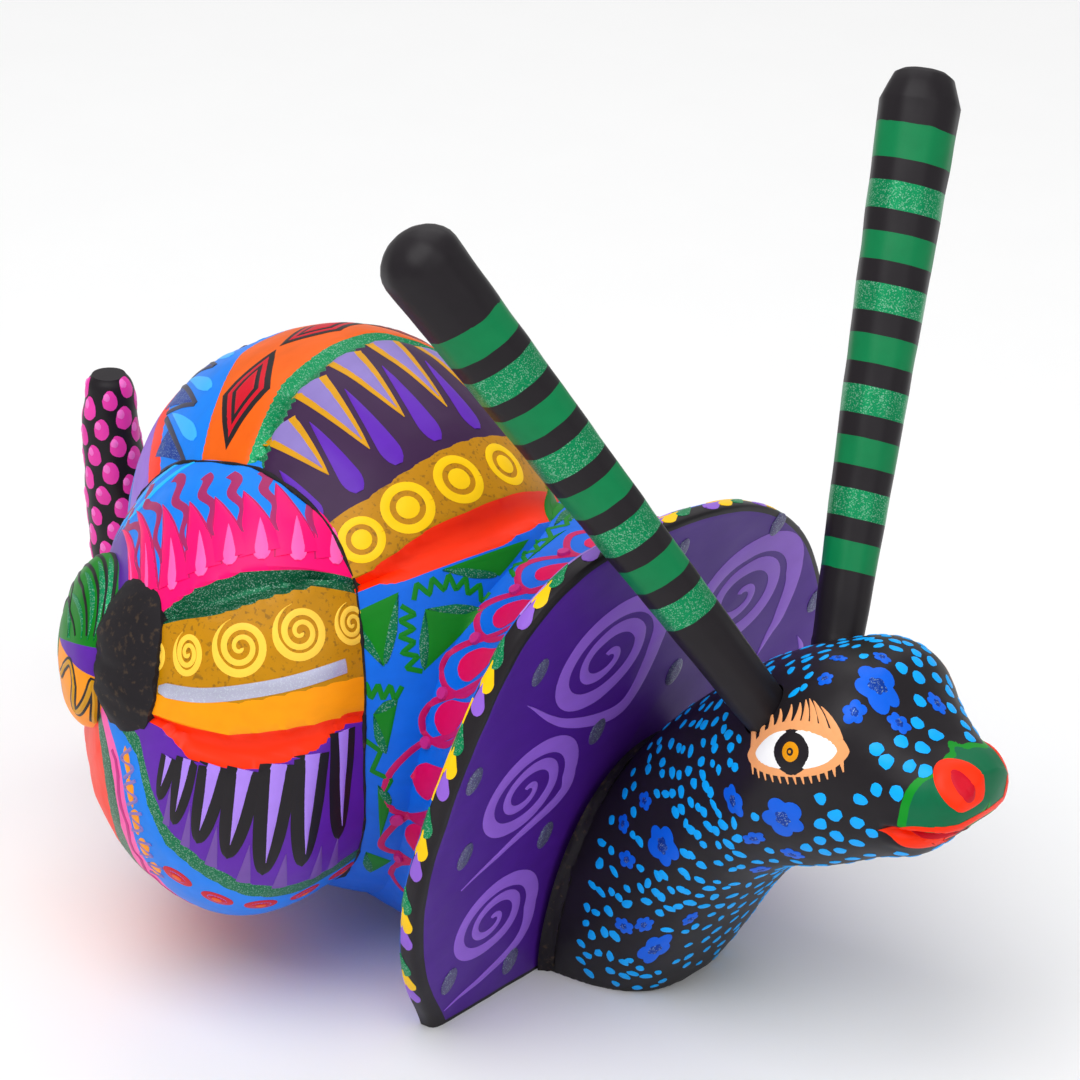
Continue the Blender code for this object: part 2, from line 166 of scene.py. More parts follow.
def power(value, exponent):
    """A signed power, for superellipses."""
    return np.sign(value) * np.abs(value) ** exponent


def curve_at(points, steps):
    """Points of a Catmull-Rom curve through the given ones, at these parameters."""
    points = np.asarray(points, float)
    padded = np.vstack([2 * points[0] - points[1], points, 2 * points[-1] - points[-2]])
    steps = np.atleast_1d(np.asarray(steps, float))
    start = np.clip(steps.astype(int), 0, len(points) - 2)
    t = (steps - start)[:, None]
    a, b, c, d = (padded[start + k] for k in range(4))
    bend, twist = 2 * a - 5 * b + 4 * c - d, 3 * b - a - 3 * c + d
    return 0.5 * (2 * b + (c - a) * t + bend * t ** 2 + twist * t ** 3)


def smooth_curve(points, count):
    """Points evenly spaced in parameter on a Catmull-Rom curve."""
    return curve_at(points, np.linspace(0, len(points) - 1, count))


def lumps(points, size, seed=0.0):
    """Smooth noise from -1 to 1 at each point, with lumps of about that size."""
    flat = np.asarray(points, float).reshape(-1, 3) / size + seed
    values = np.array([carving_noise.noise(Vector(point)) for point in flat])
    return values.reshape(np.asarray(points).shape[:-1])


def linear(colour):
    """A colour's name as linear red, green, blue and alpha."""
    values = np.array(COLOURS[colour]) / 255.0
    low = values / 12.92
    high = ((values + 0.055) / 1.055) ** 2.4
    return (*np.where(values <= 0.04045, low, high), 1.0)


def band_field(position, other, edges):
    """How many band edges a position has passed, and how far it is into the next band.

    Each edge is a list of (other coordinate, position) pairs, and edges are in rising order of position.
    """
    lines = [np.interp(other, *np.array(sorted(edge), float).T) for edge in edges]
    field = np.zeros(np.shape(position))
    for low, high in zip(lines, lines[1:]):
        field += np.clip((position - low) / np.maximum(high - low, 0.05), 0, 1)
    return field


# ---------------------------------------------------------------- materials

class Nodes:
    """Short-hand for building a material's node tree."""

    def __init__(self, name):
        self.material = bpy.data.materials.new(name)
        self.material.use_nodes = True
        self.tree = self.material.node_tree
        self.shader = self.tree.nodes["Principled BSDF"]

    def add(self, kind, **inputs):
        """A node, with its inputs set or linked."""
        node = self.tree.nodes.new(kind)
        for key, value in inputs.items():
            self.put(node.inputs[key.replace("_", " ")], value)
        return node

    def put(self, socket, value):
        """Set a socket to a value, or link an output to it."""
        if isinstance(value, bpy.types.NodeSocket):
            self.tree.links.new(value, socket)
        else:
            socket.default_value = value

    def math(self, operation, first, second=0.0):
        """A Math node's result."""
        node = self.tree.nodes.new("ShaderNodeMath")
        node.operation = operation
        self.put(node.inputs[0], first)
        self.put(node.inputs[1], second)
        return node.outputs[0]

    def mix(self, share, first, second, blend="MIX"):
        """A colour mix's result."""
        node = self.tree.nodes.new("ShaderNodeMix")
        node.data_type = "RGBA"
        node.blend_type = blend
        self.put(node.inputs[0], share)
        self.put(node.inputs[6], first)
        self.put(node.inputs[7], second)
        return node.outputs[2]

    def noise(self, scale, detail=2.0, stretch=(1.0, 1.0, 1.0)):
        """Noise over the object, with its size per metre and a stretch."""
        place = self.tree.nodes.new("ShaderNodeTexCoord")
        mapping = self.add("ShaderNodeMapping", Vector=place.outputs["Object"])
        mapping.inputs["Scale"].default_value = stretch
        grain = self.add("ShaderNodeTexNoise", Vector=mapping.outputs[0], Scale=scale, Detail=detail)
        return grain.outputs[0]

    def spots(self, scale):
        """The random colour of small cells over the object."""
        place = self.tree.nodes.new("ShaderNodeTexCoord")
        return self.add("ShaderNodeTexVoronoi", Vector=place.outputs["Object"], Scale=scale).outputs["Color"]

    def window(self, value, low, high):
        """0 below low, 1 above high, and smooth between."""
        node = self.add("ShaderNodeMapRange", Value=value)
        node.interpolation_type = "SMOOTHSTEP"
        node.inputs["From Min"].default_value = low
        node.inputs["From Max"].default_value = high
        return node.outputs[0]

    def ramp(self, value, colours):
        """Bands of plain colour, evenly spaced from 0 to 1."""
        node = self.add("ShaderNodeValToRGB", Fac=value)
        node.color_ramp.interpolation = "CONSTANT"
        stops = node.color_ramp.elements
        for index, colour in enumerate(colours):
            stop = stops[index] if index < 2 else stops.new(index / len(colours))
            stop.position = index / len(colours)
            stop.color = colour
        return node.outputs[0]


def brushed(nodes, colour, depth=0.22, glitter=0.0, flecks=0.0, roughness=0.42):
    """Finish a paint: brush streaks, glitter where asked, with its metal sheen and painted glints of light on
    its flakes, dark flecks where asked, and a brushed bump.
    """
    streaks = nodes.noise(420.0, 4.0, (1.0, 0.35, 1.0))
    patches = nodes.noise(90.0, 3.0)
    tone = nodes.math("ADD", nodes.math("MULTIPLY", streaks, depth), nodes.math("MULTIPLY", patches, depth))
    shade = nodes.math("SUBTRACT", 1.0 + depth, tone)
    grey = nodes.add("ShaderNodeCombineColor", Red=shade, Green=shade, Blue=shade).outputs[0]
    result = nodes.mix(1.0, colour, grey, "MULTIPLY")
    grains = nodes.noise(1300.0, 2.0)
    dark = nodes.math("MULTIPLY", nodes.window(grains, 0.56, 0.68), flecks)
    result = nodes.mix(nodes.math("MULTIPLY", dark, 0.42), result, (0.03, 0.022, 0.01, 1.0))
    # painted glints: the brightest random cells are lightened towards a pale green-white, standing in for
    # light caught by glitter flakes
    glint_cells = nodes.add("ShaderNodeSeparateColor", Color=nodes.spots(6500.0)).outputs[0]
    glint_share = nodes.math("MULTIPLY", nodes.window(glint_cells, 0.72, 0.98), glitter)
    result = nodes.mix(nodes.math("MULTIPLY", glint_share, 0.3), result, (0.6, 0.85, 0.75, 1.0), "SCREEN")
    nodes.put(nodes.shader.inputs["Base Color"], result)
    rough = nodes.math("ADD", roughness - 0.1, nodes.math("MULTIPLY", patches, 0.22))
    if isinstance(glitter, float):
        nodes.shader.inputs["Metallic"].default_value = 0.38 * glitter
    else:
        nodes.put(nodes.shader.inputs["Metallic"], nodes.math("MULTIPLY", glitter, 0.38))
        rough = nodes.math("SUBTRACT", rough, nodes.math("MULTIPLY", glitter, 0.08))
    nodes.put(nodes.shader.inputs["Roughness"], rough)
    height = nodes.math("ADD", nodes.math("MULTIPLY", streaks, 0.6), nodes.math("MULTIPLY", glint_share, 0.25))
    bump = nodes.add("ShaderNodeBump", Height=height, Strength=0.35, Distance=0.00012)
    nodes.put(nodes.shader.inputs["Normal"], bump.outputs[0])
    nodes.shader.inputs["Specular IOR Level"].default_value = 0.2
    return nodes.material


def banded(name, bands, wobble=0.015):
    """Paint in bands that follow the surface's band number; a band is (colour, glitter, flecks)."""
    nodes = Nodes(name)
    place = nodes.add("ShaderNodeAttribute")
    place.attribute_name = "band"
    drift = nodes.math("SUBTRACT", nodes.noise(260.0, 2.0), 0.5)
    number = nodes.math("ADD", place.outputs["Fac"], nodes.math("MULTIPLY", drift, wobble))
    share = nodes.math("DIVIDE", number, float(len(bands)))
    colour = nodes.ramp(share, [linear(band[0]) for band in bands])
    finish = nodes.ramp(share, [(band[1], band[2], 0.0, 1.0) for band in bands])
    parts = nodes.add("ShaderNodeSeparateColor", Color=finish)
    return brushed(nodes, colour, glitter=parts.outputs[0], flecks=parts.outputs[1])


def paint(name, colour, glitter=0.0, depth=0.16, roughness=0.4):
    """One paint, for strokes."""
    nodes = Nodes(name)
    return brushed(nodes, linear(colour), depth=depth, glitter=glitter, roughness=roughness)


def filler_paint(name):
    """Rough black filler with brown dust in its pits."""
    nodes = Nodes(name)
    dust = nodes.window(nodes.noise(900.0, 4.0), 0.56, 0.72)
    colour = nodes.mix(nodes.math("MULTIPLY", dust, 0.55), linear("black"), (0.09, 0.055, 0.03, 1.0))
    return brushed(nodes, colour, depth=0.3, roughness=0.62)


def whittled_wood(name):
    """Bare pale copal wood with grain."""
    nodes = Nodes(name)
    grain = nodes.noise(300.0, 5.0, (1.0, 1.0, 0.12))
    colour = nodes.mix(grain, (0.62, 0.42, 0.22, 1.0), (0.36, 0.2, 0.09, 1.0))
    return brushed(nodes, colour, depth=0.1, roughness=0.6)


def nail_steel(name):
    """Dull wire-nail steel with draw marks."""
    nodes = Nodes(name)
    marks = nodes.noise(2200.0, 3.0, (1.0, 1.0, 0.08))
    colour = nodes.mix(marks, (0.5, 0.5, 0.52, 1.0), (0.32, 0.31, 0.31, 1.0))
    nodes.put(nodes.shader.inputs["Base Color"], colour)
    nodes.put(nodes.shader.inputs["Roughness"], nodes.math("ADD", 0.28, nodes.math("MULTIPLY", marks, 0.2)))
    nodes.shader.inputs["Metallic"].default_value = 1.0
    return nodes.material


# ---------------------------------------------------------------- meshes

def packed_mesh(name, points, faces):
    """Mesh data from points in the snail's own frame."""
    data = bpy.data.meshes.new(name)
    data.from_pydata([tuple(point) for point in (np.asarray(points) + ANCHOR) * MM], [], faces)
    return data


def mesh_piece(name, points, faces, material, slot, bands=None, body=SNAIL):
    """A piece from points in the snail's own frame; bands are numbers at each face's corners."""
    data = packed_mesh(name, points, faces)
    if bands is not None:
        numbers = data.attributes.new("band", "FLOAT", "CORNER")
        numbers.data.foreach_set("value", np.asarray(bands, np.float32))
    data.materials.append(material)
    data.shade_smooth()
    data.set_sharp_from_angle(angle=SMOOTH_ANGLE)
    piece = bpy.data.objects.new(name, data)
    bpy.context.scene.collection.objects.link(piece)
    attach(piece, body)
    return piece


def carving(name, shape, material, slot, node, body=SNAIL):
    """A carved piece that takes the place of a CAD node."""
    points, faces, bands = shape
    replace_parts(mesh_piece(name, points, faces, material, slot, bands, body), node)


def loft(rings, start, end, bands=None):
    """Points, faces and corner numbers of a closed skin through rings of equal size.

    Bands, if given, hold one more column than the rings, so that the last face ends on its own number.
    """
    rings = np.asarray(rings, float)
    rows, count = rings.shape[:2]
    points = np.vstack([rings.reshape(-1, 3), start, end])
    first, last = rows * count, rows * count + 1
    faces, corners = [], []

    def number(row, column):
        return 0.0 if bands is None else bands[row][column]

    for column in range(count):
        after = (column + 1) % count
        faces.append((first, after, column))
        corners += [number(0, column), number(0, column + 1), number(0, column)]
        for row in range(rows - 1):
            here, there = row * count, (row + 1) * count
            faces.append((here + column, here + after, there + after, there + column))
            corners += [number(row, column), number(row, column + 1), number(row + 1, column + 1),
                        number(row + 1, column)]
        here = (rows - 1) * count
        faces.append((last, here + column, here + after))
        corners += [number(rows - 1, column), number(rows - 1, column), number(rows - 1, column + 1)]
    if signed_volume(points, faces) < 0:
        faces, corners = turned_over(faces, corners)
    return points, faces, (corners if bands is not None else None)


def signed_volume(points, faces):
    """Six times the volume inside the faces, negative if they are inside out."""
    triangles = np.array([(face[0], *face[k:k + 2]) for face in faces for k in range(1, len(face) - 1)])
    a, b, c = (points[triangles[:, k]] for k in range(3))
    return float(np.einsum("ij,ij->", a, np.cross(b, c)))


def turned_over(faces, corners):
    """Faces the other way round, with their corner numbers."""
    turned, numbers, place = [], [], 0
    for face in faces:
        turned.append(tuple(reversed(face)))
        numbers += list(reversed(corners[place:place + len(face)]))
        place += len(face)
    return turned, numbers


class Canvas:
    """One carved surface, or two that run through each other, and the paint laid on the outside."""

    def __init__(self, name, slot, *shapes):
        self.name, self.slot = name, slot
        self.trees = [BVHTree.FromPolygons([tuple(p) for p in points], [tuple(f) for f in faces])
                      for points, faces, _ in shapes]
        self.paints = {}

    def touch(self, point):
        """The nearest place on the outside, and which way it faces."""
        spots = [tree.find_nearest(Vector(point)) for tree in self.trees]
        spots.sort(key=lambda spot: spot[3])
        for spot in spots:
            others = [tree.find_nearest(spot[0]) for tree in self.trees]
            if all((spot[0] - other[0]).dot(other[1]) > -1e-3 for other in others):
                return np.array(spot[0]), np.array(spot[1])
        return np.array(spots[0][0]), np.array(spots[0][1])

    def local(self, point, toward, shift=(0.0, 0.0)):
        """A function from flat millimetres, along a direction and across it, to points by the surface."""
        place, normal = self.touch(point)
        ahead = unit(np.asarray(toward, float) - normal * np.dot(toward, normal))
        across = np.cross(normal, ahead)
        return lambda x, y: place + ahead * (x + shift[0]) + across * (y + shift[1])

    def skin(self, colour, rows, lift):
        """Add a closed thin slab whose top passes through rows of points laid on the surface."""
        rows = np.asarray(rows, float)
        count, width = rows.shape[:2]
        tops, roots = np.zeros_like(rows), np.zeros_like(rows)
        for i in range(count):
            for k in range(width):
                place, normal = self.touch(rows[i, k])
                share = 1.0 if width < 3 else math.sin(math.pi * k / (width - 1)) ** 0.5
                tops[i, k] = place + normal * lift * (0.35 + 0.65 * share)
                roots[i, k] = place - normal * PAINT_ROOT
        ring = np.concatenate([tops, roots[:, ::-1]], axis=1)
        points, faces, _ = loft(ring, ring[0].mean(axis=0), ring[-1].mean(axis=0))
        self.keep(colour, points, faces)

    def stroke(self, colour, line, widths, lift=PAINT_LIFT):
        """A brush stroke along a line, with a half width at each of its points."""
        line = np.asarray(line, float)
        widths = np.maximum(np.broadcast_to(widths, len(line)), 0.06)
        laid = [self.touch(point) for point in line]
        places = np.array([place for place, _ in laid])
        normals = np.array([normal for _, normal in laid])
        ahead = unit(np.gradient(places, axis=0))
        across = unit(np.cross(normals, ahead))
        count = 2 * max(1, math.ceil(widths.max() / 1.1)) + 1
        rows = [[places[i] + across[i] * widths[i] * t for t in np.linspace(-1, 1, count)]
                for i in range(len(line))]
        self.skin(colour, rows, lift)

    def blob(self, colour, at, outline, lift=PAINT_LIFT, inner=(0.5,)):
        """A filled shape round a middle; at maps flat millimetres, outline is a ring of (x, y)."""
        rings, bottoms = [], []
        for share in (*inner, 1.0):
            laid = [self.touch(at(x * share, y * share)) for x, y in outline]
            height = lift * (1.0 if share < 1.0 else 0.35)
            rings.append([place + normal * height for place, normal in laid])
            bottoms.append([place - normal * PAINT_ROOT for place, normal in laid])
        middle, normal = self.touch(at(0.0, 0.0))
        points, faces, _ = loft(rings + bottoms[::-1], middle + normal * lift, middle - normal * PAINT_ROOT)
        self.keep(colour, points, faces)

    def keep(self, colour, points, faces):
        """Collect a stroke under its colour."""
        kept_points, kept_faces = self.paints.setdefault(colour, ([], []))
        base = len(kept_points)
        kept_points.extend(points)
        kept_faces.extend(tuple(index + base for index in face) for face in faces)

    def finish(self, paints):
        """One piece for each colour."""
        for colour, (points, faces) in sorted(self.paints.items()):
            mesh_piece(f"{self.name}_{colour}", points, faces, paints[colour], self.slot)


# ---------------------------------------------------------------- strokes' flat shapes

def spiral(radius, turns, finish_angle, hand=1.0, stretch=(1.0, 1.0), start=0.1, count=90):
    """A flat spiral from its middle outwards, ending at an angle; hand 1 winds anticlockwise outwards."""
    share = np.linspace(0, 1, count)
    angle = math.radians(finish_angle) - hand * math.tau * turns * (1 - share)
    reach = radius * (start + (1 - start) * share ** 0.9)
    return np.column_stack([reach * np.cos(angle) * stretch[0], reach * np.sin(angle) * stretch[1]])


def ellipse(long, short, count=14, rough=0.0, draw=None, point=0.0):
    """A closed outline; rough makes it hand-drawn, and point makes one end pointed."""
    angles = np.linspace(0, math.tau, count, endpoint=False)
    factor = np.array([1.0 + (draw.uniform(-rough, rough) if draw else 0.0) for _ in angles])
    taper = 1.0 - point * (0.5 + 0.5 * np.cos(angles))
    return np.column_stack([long * np.cos(angles) * factor, short * np.sin(angles) * factor * taper])


def flower(radius, petals, draw, squash=1.0):
    """A lobed outline."""
    angles = np.linspace(0, math.tau, 40, endpoint=False)
    shift, extra = draw.uniform(0, math.tau), draw.uniform(0, math.tau)
    lobes = np.abs(np.sin(petals * (angles + shift) / 2)) ** 0.8
    reach = radius * (0.68 + 0.3 * lobes + 0.1 * np.sin(2 * angles + extra))
    return np.column_stack([reach * np.cos(angles), reach * np.sin(angles) * squash])


def drop_widths(count, half, fat=0.7):
    """Half widths of a teardrop whose fattest place is that share along."""
    share = np.linspace(0, 0.985, count)
    rise = np.clip(share / fat, 0, 1) ** 0.8
    fall = np.sqrt(np.clip(1 - ((share - fat) / (1 - fat)) ** 2, 0, 1))
    return half * np.where(share < fat, rise, fall)


def tooth_widths(count, half):
    """Half widths of a tooth from its base to its point."""
    return half * (1 - np.linspace(0, 1, count)) ** 0.85


# ---------------------------------------------------------------- shell: body whorl

# edges of the painted bands over the body whorl, from the front backwards: (place along the axis, turn)
DOME_EDGES = (
    ((-36, -180), (36, -180)),
    ((-36, -90), (36, -90)),
    ((-30, -51), (-16, -54.8), (0, -54.6), (9, -53.2), (20, -51)),
    ((-30, -43.5), (-15, -46.7), (-6, -48), (2, -50.6), (9, -52.6), (20, -50.4)),
    ((-30, -27), (-20, -31.3), (-9, -35.5), (0, -38.6), (10, -40.6), (20, -42)),
    ((-30, 6), (-15, 2.4), (-6, -3.6), (4, -11.2), (13.5, -22.8), (20, -33)),
    ((-30, 12), (-15, 7.6), (-6, 1.4), (4, -6.1), (13.5, -18.4), (20, -28.6)),
    ((-30, 38), (-10, 27), (0, 21.5), (5.5, 15.7), (13, 2.7), (19.5, -8.5), (25, -20)),
    ((-30, 68), (-5, 58), (10, 42), (21.5, 17.1), (25, 5.8), (28, -5)),
    ((-30, 74), (-5, 64), (10, 49), (21, 26.3), (26, 13.7), (29, 5)),
    ((-30, 86), (-5, 76), (10, 62), (21, 42), (27, 30)),
    ((-30, 106), (0, 94), (10, 84), (21, 68), (27, 58)),
    ((-30, 112), (0, 100), (10, 90), (21, 74), (27, 64)),
    ((-30, 138), (0, 128), (10, 120), (21, 104), (27, 94)),
    ((-30, 152), (0, 143), (10, 136), (21, 122), (27, 112)),
    ((-30, 158), (0, 150), (10, 143), (21, 130), (27, 120)),
    ((-36, 180), (36, 180)),
)
DOME_BANDS = (                # paint between one edge and the next: colour, glitter, flecks
    ("blue", 0, 0), ("blue", 0, 0), ("red_orange", 0, 0), ("ochre", 0, 1), ("aubergine", 0, 0),
    ("glitter_green", 1, 0), ("orange", 0, 0), ("azure", 0, 0), ("red_orange", 0, 0), ("lilac", 0, 0),
    ("blue", 0, 0), ("glitter_green", 1, 0), ("purple", 0, 0), ("ochre", 0, 1), ("red_orange", 0, 0),
    ("blue", 0, 0),
)
DOME_GROOVES = {2: 1.7, 5: 1.3, 11: 1.3, 14: 1.5}      # band number: depth


def groove_depth(field, grooves):
    """How deep the surface is carved where the band number is inside a groove."""
    depth = np.zeros(np.shape(field))
    for band, deepest in grooves.items():
        share = np.clip(field - band, 0, 1)
        depth += deepest * (4 * share * (1 - share)) ** 0.9
    return depth


def dome_direction(turn, tilt):
    """Where a turn and tilt, in radians, lead from the dome's centre, and the outward direction."""
    axis = unit(BODY_AXIS)
    up, side = axis_frame(axis)
    reach = BODY_RADIUS - BODY_LIFT * ((1 - np.cos(turn)) / 2) ** 2
    share = power(np.cos(tilt), BODY_ROUNDNESS)
    spoke = up * np.cos(turn)[..., None] + side * np.sin(turn)[..., None]
    along = BODY_HALF_WIDTH * power(np.sin(tilt), BODY_ROUNDNESS)
    place = BODY_CENTRE + axis * along[..., None] + spoke * (share * reach)[..., None]
    outward = unit(spoke * np.cos(tilt)[..., None] + axis * np.sin(tilt)[..., None])
    return place, outward, along


def dome_at(turn, along):
    """A point by the body whorl's surface, from a turn in degrees and a place along its axis."""
    tilt = math.asin(math.copysign((abs(along) / BODY_HALF_WIDTH) ** (1 / BODY_ROUNDNESS), along))
    place, _, _ = dome_direction(np.array(math.radians(turn)), np.array(tilt))
    return place


def build_dome(rows=120, columns=260):
    """The body whorl with its carved grooves."""
    tilt = np.linspace(-math.pi / 2, math.pi / 2, rows + 2)[1:-1]
    turn = np.linspace(-math.pi, math.pi, columns + 1)
    tilt, turn = np.meshgrid(tilt, turn, indexing="ij")
    place, outward, along = dome_direction(turn, tilt)
    field = band_field(np.degrees(turn), along, DOME_EDGES)
    rough = 0.16 * lumps(place, 7.0) + 0.05 * lumps(place, 1.8)
    taper = np.clip((along + 34) / 12, 0, 1) * np.clip((33 - along) / 8, 0, 1)
    place = place - outward * (groove_depth(field, DOME_GROOVES) * taper - rough)[..., None]
    ends = [BODY_CENTRE + unit(BODY_AXIS) * sign * BODY_HALF_WIDTH for sign in (-1, 1)]
    return loft(place[:, :-1], ends[0], ends[1], field)


def edge(edges, index, other):
    """Where a band edge is at another coordinate."""
    return float(np.interp(other, *np.array(sorted(edges[index]), float).T))


def between(edges, first, second, other, share):
    """A place between two band edges."""
    low, high = edge(edges, first, other), edge(edges, second, other)
    return low + (high - low) * share


def chart_line(at, pairs, count=24):
    """Points by a surface along a smooth line given in its own two coordinates."""
    return [at(*pair) for pair in smooth_curve(pairs, count)]


def dome_ring(canvas, colour, band, along, radius):
    """A painted ring with a dot in it, half way between a band's edges."""
    turn = between(DOME_EDGES, band, band + 1, along, 0.5)
    point = dome_at(turn, along)
    at = canvas.local(point, dome_at(turn, along - 1) - point)
    angles = np.linspace(0, math.tau, 40)
    ring = [at(0.8 * radius * math.cos(a), 0.8 * radius * math.sin(a)) for a in angles]
    canvas.stroke(colour, ring, 0.165 * radius)
    canvas.blob(colour, at, ellipse(0.42 * radius, 0.42 * radius, 18))


def teeth_and_drops(canvas, starts, spread):
    """Ochre teeth with lilac cores that stand on a groove, and violet drops between them."""
    draw = random.Random(SEED)

    def on_band(along, share):
        return between(DOME_EDGES, 5, 4, along, share), along

    for start in starts:
        root = on_band(start, 0.0)
        end = on_band(start - 3.6, 0.73 + draw.uniform(-0.04, 0.04))
        canvas.stroke("gold", chart_line(dome_at, [root, end], 22), tooth_widths(22, spread))
        core = chart_line(dome_at, [root, np.array(root) + 0.88 * (np.array(end) - root)], 18)
        canvas.stroke("grey_lilac", core, tooth_widths(18, 0.68 * spread), PAINT_LIFT * 1.7)
        drop = chart_line(dome_at, [on_band(start - 4.8, 0.28), on_band(start - 6.8, 0.93)], 20)
        canvas.stroke("drop_violet", drop, drop_widths(20, 0.5 * spread, 0.8))


DIAMOND_LAYERS = (("black", 1.0), ("crimson", 0.84), ("black", 0.62), ("crimson", 0.42))


def polygon(corners, count=9):
    """The points round a shape with straight sides."""
    return np.array([a + (b - a) * t for a, b in zip(corners, [*corners[1:], corners[0]])
                     for t in np.linspace(0, 1, count)[:-1]])


def diamond(canvas, points, half):
    """A nested diamond from one end over the middle to the other end."""
    at = canvas.local(points[1], points[2] - points[0])
    length = 0.5 * np.linalg.norm(points[2] - points[0])
    outline = polygon([np.array(corner) for corner in ((length, 0), (0, half), (-length, 0), (0, -half))])
    for step, (colour, size) in enumerate(DIAMOND_LAYERS):
        lift = PAINT_LIFT * (1 + 0.45 * step)
        canvas.blob(colour, at, outline * np.array([size ** 0.8, size]), lift, (0.2, 0.4, 0.6, 0.8))


def blue_band(canvas):
    """Deep-blue triangles with dark sides, and light drops between them."""
    for along in (23.0, 17.0, 10.5, 3.5, -4.0, -12.0, -20.0):
        base = [(between(DOME_EDGES, 7, 8, along + shift, 0.98), along + shift) for shift in (2.6, -2.6)]
        apex = (between(DOME_EDGES, 7, 8, along - 0.6, 0.34), along - 0.6)
        middle = ((base[0][0] + base[1][0]) / 2, along)
        canvas.stroke("deep_blue", chart_line(dome_at, [middle, apex], 14), tooth_widths(14, 2.6))
        for corner in base:
            canvas.stroke("slate", chart_line(dome_at, [corner, apex], 14), 0.5, PAINT_LIFT * 1.6)
        glow = [(between(DOME_EDGES, 7, 8, along - 3.6, share), along - 3.6) for share in (0.82, 0.18)]
        canvas.stroke("glow_blue", chart_line(dome_at, glow, 16), drop_widths(16, 1.3, 0.7))


def back_of_dome(canvas):
    """Rings, teeth and spirals on the bands that face away from the camera."""
    for along in (20.0, 12.0, 4.0, -4.0, -12.0, -20.0, -28.0):
        dome_ring(canvas, "red_orange", 10, along, 3.6)
    for along in (22.0, 14.0, 6.0, -2.0, -10.0, -18.0):
        tooth = [(between(DOME_EDGES, 12, 13, place, share), place)
                 for place, share in ((along, 0.02), (along - 2, 0.8))]
        line = chart_line(dome_at, tooth, 18)
        canvas.stroke("black", line, tooth_widths(18, 3.0))
        canvas.stroke("pale_lilac", line[:15], tooth_widths(15, 1.5), PAINT_LIFT * 1.7)
        turn = between(DOME_EDGES, 13, 14, along, 0.5)
        point = dome_at(turn, along)
        at = canvas.local(point, dome_at(turn, along - 1) - point)
        canvas.stroke("butter", [at(x, y) for x, y in spiral(3.6, 2.2, 30, count=60)],
                      np.linspace(0.35, 0.75, 60))


def ornament_dome(canvas):
    """The ornaments of the body whorl, from the front backwards."""
    for along, radius in ((9.6, 2.5), (4.4, 3.9), (-4.3, 4.5), (-14.0, 4.5), (-23.0, 4.1), (-30.5, 3.4)):
        dome_ring(canvas, "yellow", 3, along, radius)
    teeth_and_drops(canvas, [16.0 - 7.6 * k for k in range(6)], 3.5)
    for places in ((17.0, 9.4, 0.6), (0.2, -8.0, -16.4), (-17.0, -23.5, -30.5)):
        diamond(canvas, [dome_at(between(DOME_EDGES, 6, 7, along, 0.5), along) for along in places], 4.6)
    blue_band(canvas)
    back_of_dome(canvas)


# ---------------------------------------------------------------- shell: second whorl

# edges of its bands, from the top over the side that faces the camera: (depth, turn) as written here, and
# counted down from the seam once made
BUN_EDGES = tuple(
    tuple((depth, BUN_SEAM - turn) for depth, turn in pairs) for pairs in (
        ((0, 150), (46, 150)),
        ((0, 112), (8, 100), (20, 96), (46, 92)),
        ((0, 96), (8, 84), (20, 80), (46, 76)),
        ((0, 60), (8, 66), (20, 62), (46, 58)),
        ((0, 50), (8, 60), (20, 56), (46, 52)),
        ((0, -40), (3, -40.5), (7, -41), (11, -38), (20, -35), (46, -34)),
        ((0, -54), (4.4, -53), (7, -48), (10, -44.8), (17, -41.6), (27, -40.8), (46, -41)),
        ((0, -55), (4.4, -54.2), (9, -54), (14, -52.7), (20, -48.8), (27, -44.8), (46, -43)),
        ((0, -78), (6, -77), (18, -75), (34, -67.5), (46, -64)),
        ((0, -83), (6.4, -83.5), (17, -82.5), (34, -76.4), (46, -72)),
        ((0, -84), (6.6, -84.6), (11.7, -89.6), (22, -88.4), (30, -83.6), (34, -78.3), (46, -73)),
        ((0, -86), (4.7, -90.5), (7.3, -103.6), (11, -113.5), (16, -117), (23, -120.7), (31, -124),
         (46, -122)),
        ((0, -88), (4.7, -96), (7.3, -110), (11, -119), (16, -122.5), (23, -126), (31, -129), (46, -127)),
        ((0, -92), (2.5, -104), (5, -122), (8, -136), (14, -150), (24, -158), (46, -158)),
        ((0, -100), (2.5, -116), (5, -136), (8, -148), (14, -160), (24, -166), (46, -166)),
        ((0, -112), (2.5, -132), (5, -150), (8, -160), (14, -172), (24, -176), (46, -176)),
        ((0, -210), (46, -210)),
    )
)
BUN_BANDS = (
    ("marigold", 0, 0), ("strap_green", 1, 0), ("ochre", 0, 1), ("crimson", 0, 0), ("azure", 0, 0),
    ("hot_pink", 0, 0), ("dark_green", 1, 0), ("ochre", 0, 1), ("marigold", 0, 0), ("red_orange", 0, 0),
    ("purple", 0, 0), ("strap_green", 1, 0), ("azure", 0, 0), ("pink", 0, 0), ("dark_green", 1, 0),
    ("red_orange", 0, 0),
)
BUN_GROOVES = {6: 2.1, 9: 1.6}


def bun_place(turn, depth):
    """Points of the second whorl, from turns in degrees and depths below its face, and outward directions."""
    axis = unit(BUN_AXIS)
    up, side = axis_frame(axis)
    table = curve_at(BUN_PROFILE, np.linspace(0, len(BUN_PROFILE) - 1, 161))
    above, below, breadth = (np.interp(depth, table[:, 0], table[:, k]) for k in (1, 2, 3))
    slope = np.interp(depth, table[:, 0], np.gradient(table[:, 1], table[:, 0]))
    angle = np.radians(turn)
    height = np.where(np.cos(angle) > 0, above, below)
    rise = height * power(np.cos(angle), BUN_ROUNDNESS)
    breadth = breadth * power(np.sin(angle), BUN_ROUNDNESS)
    place = BUN_FACE - axis * depth[..., None] + up * rise[..., None] + side * breadth[..., None]
    spoke = up * np.cos(angle)[..., None] + side * np.sin(angle)[..., None]
    return place, unit(spoke + axis * slope[..., None])


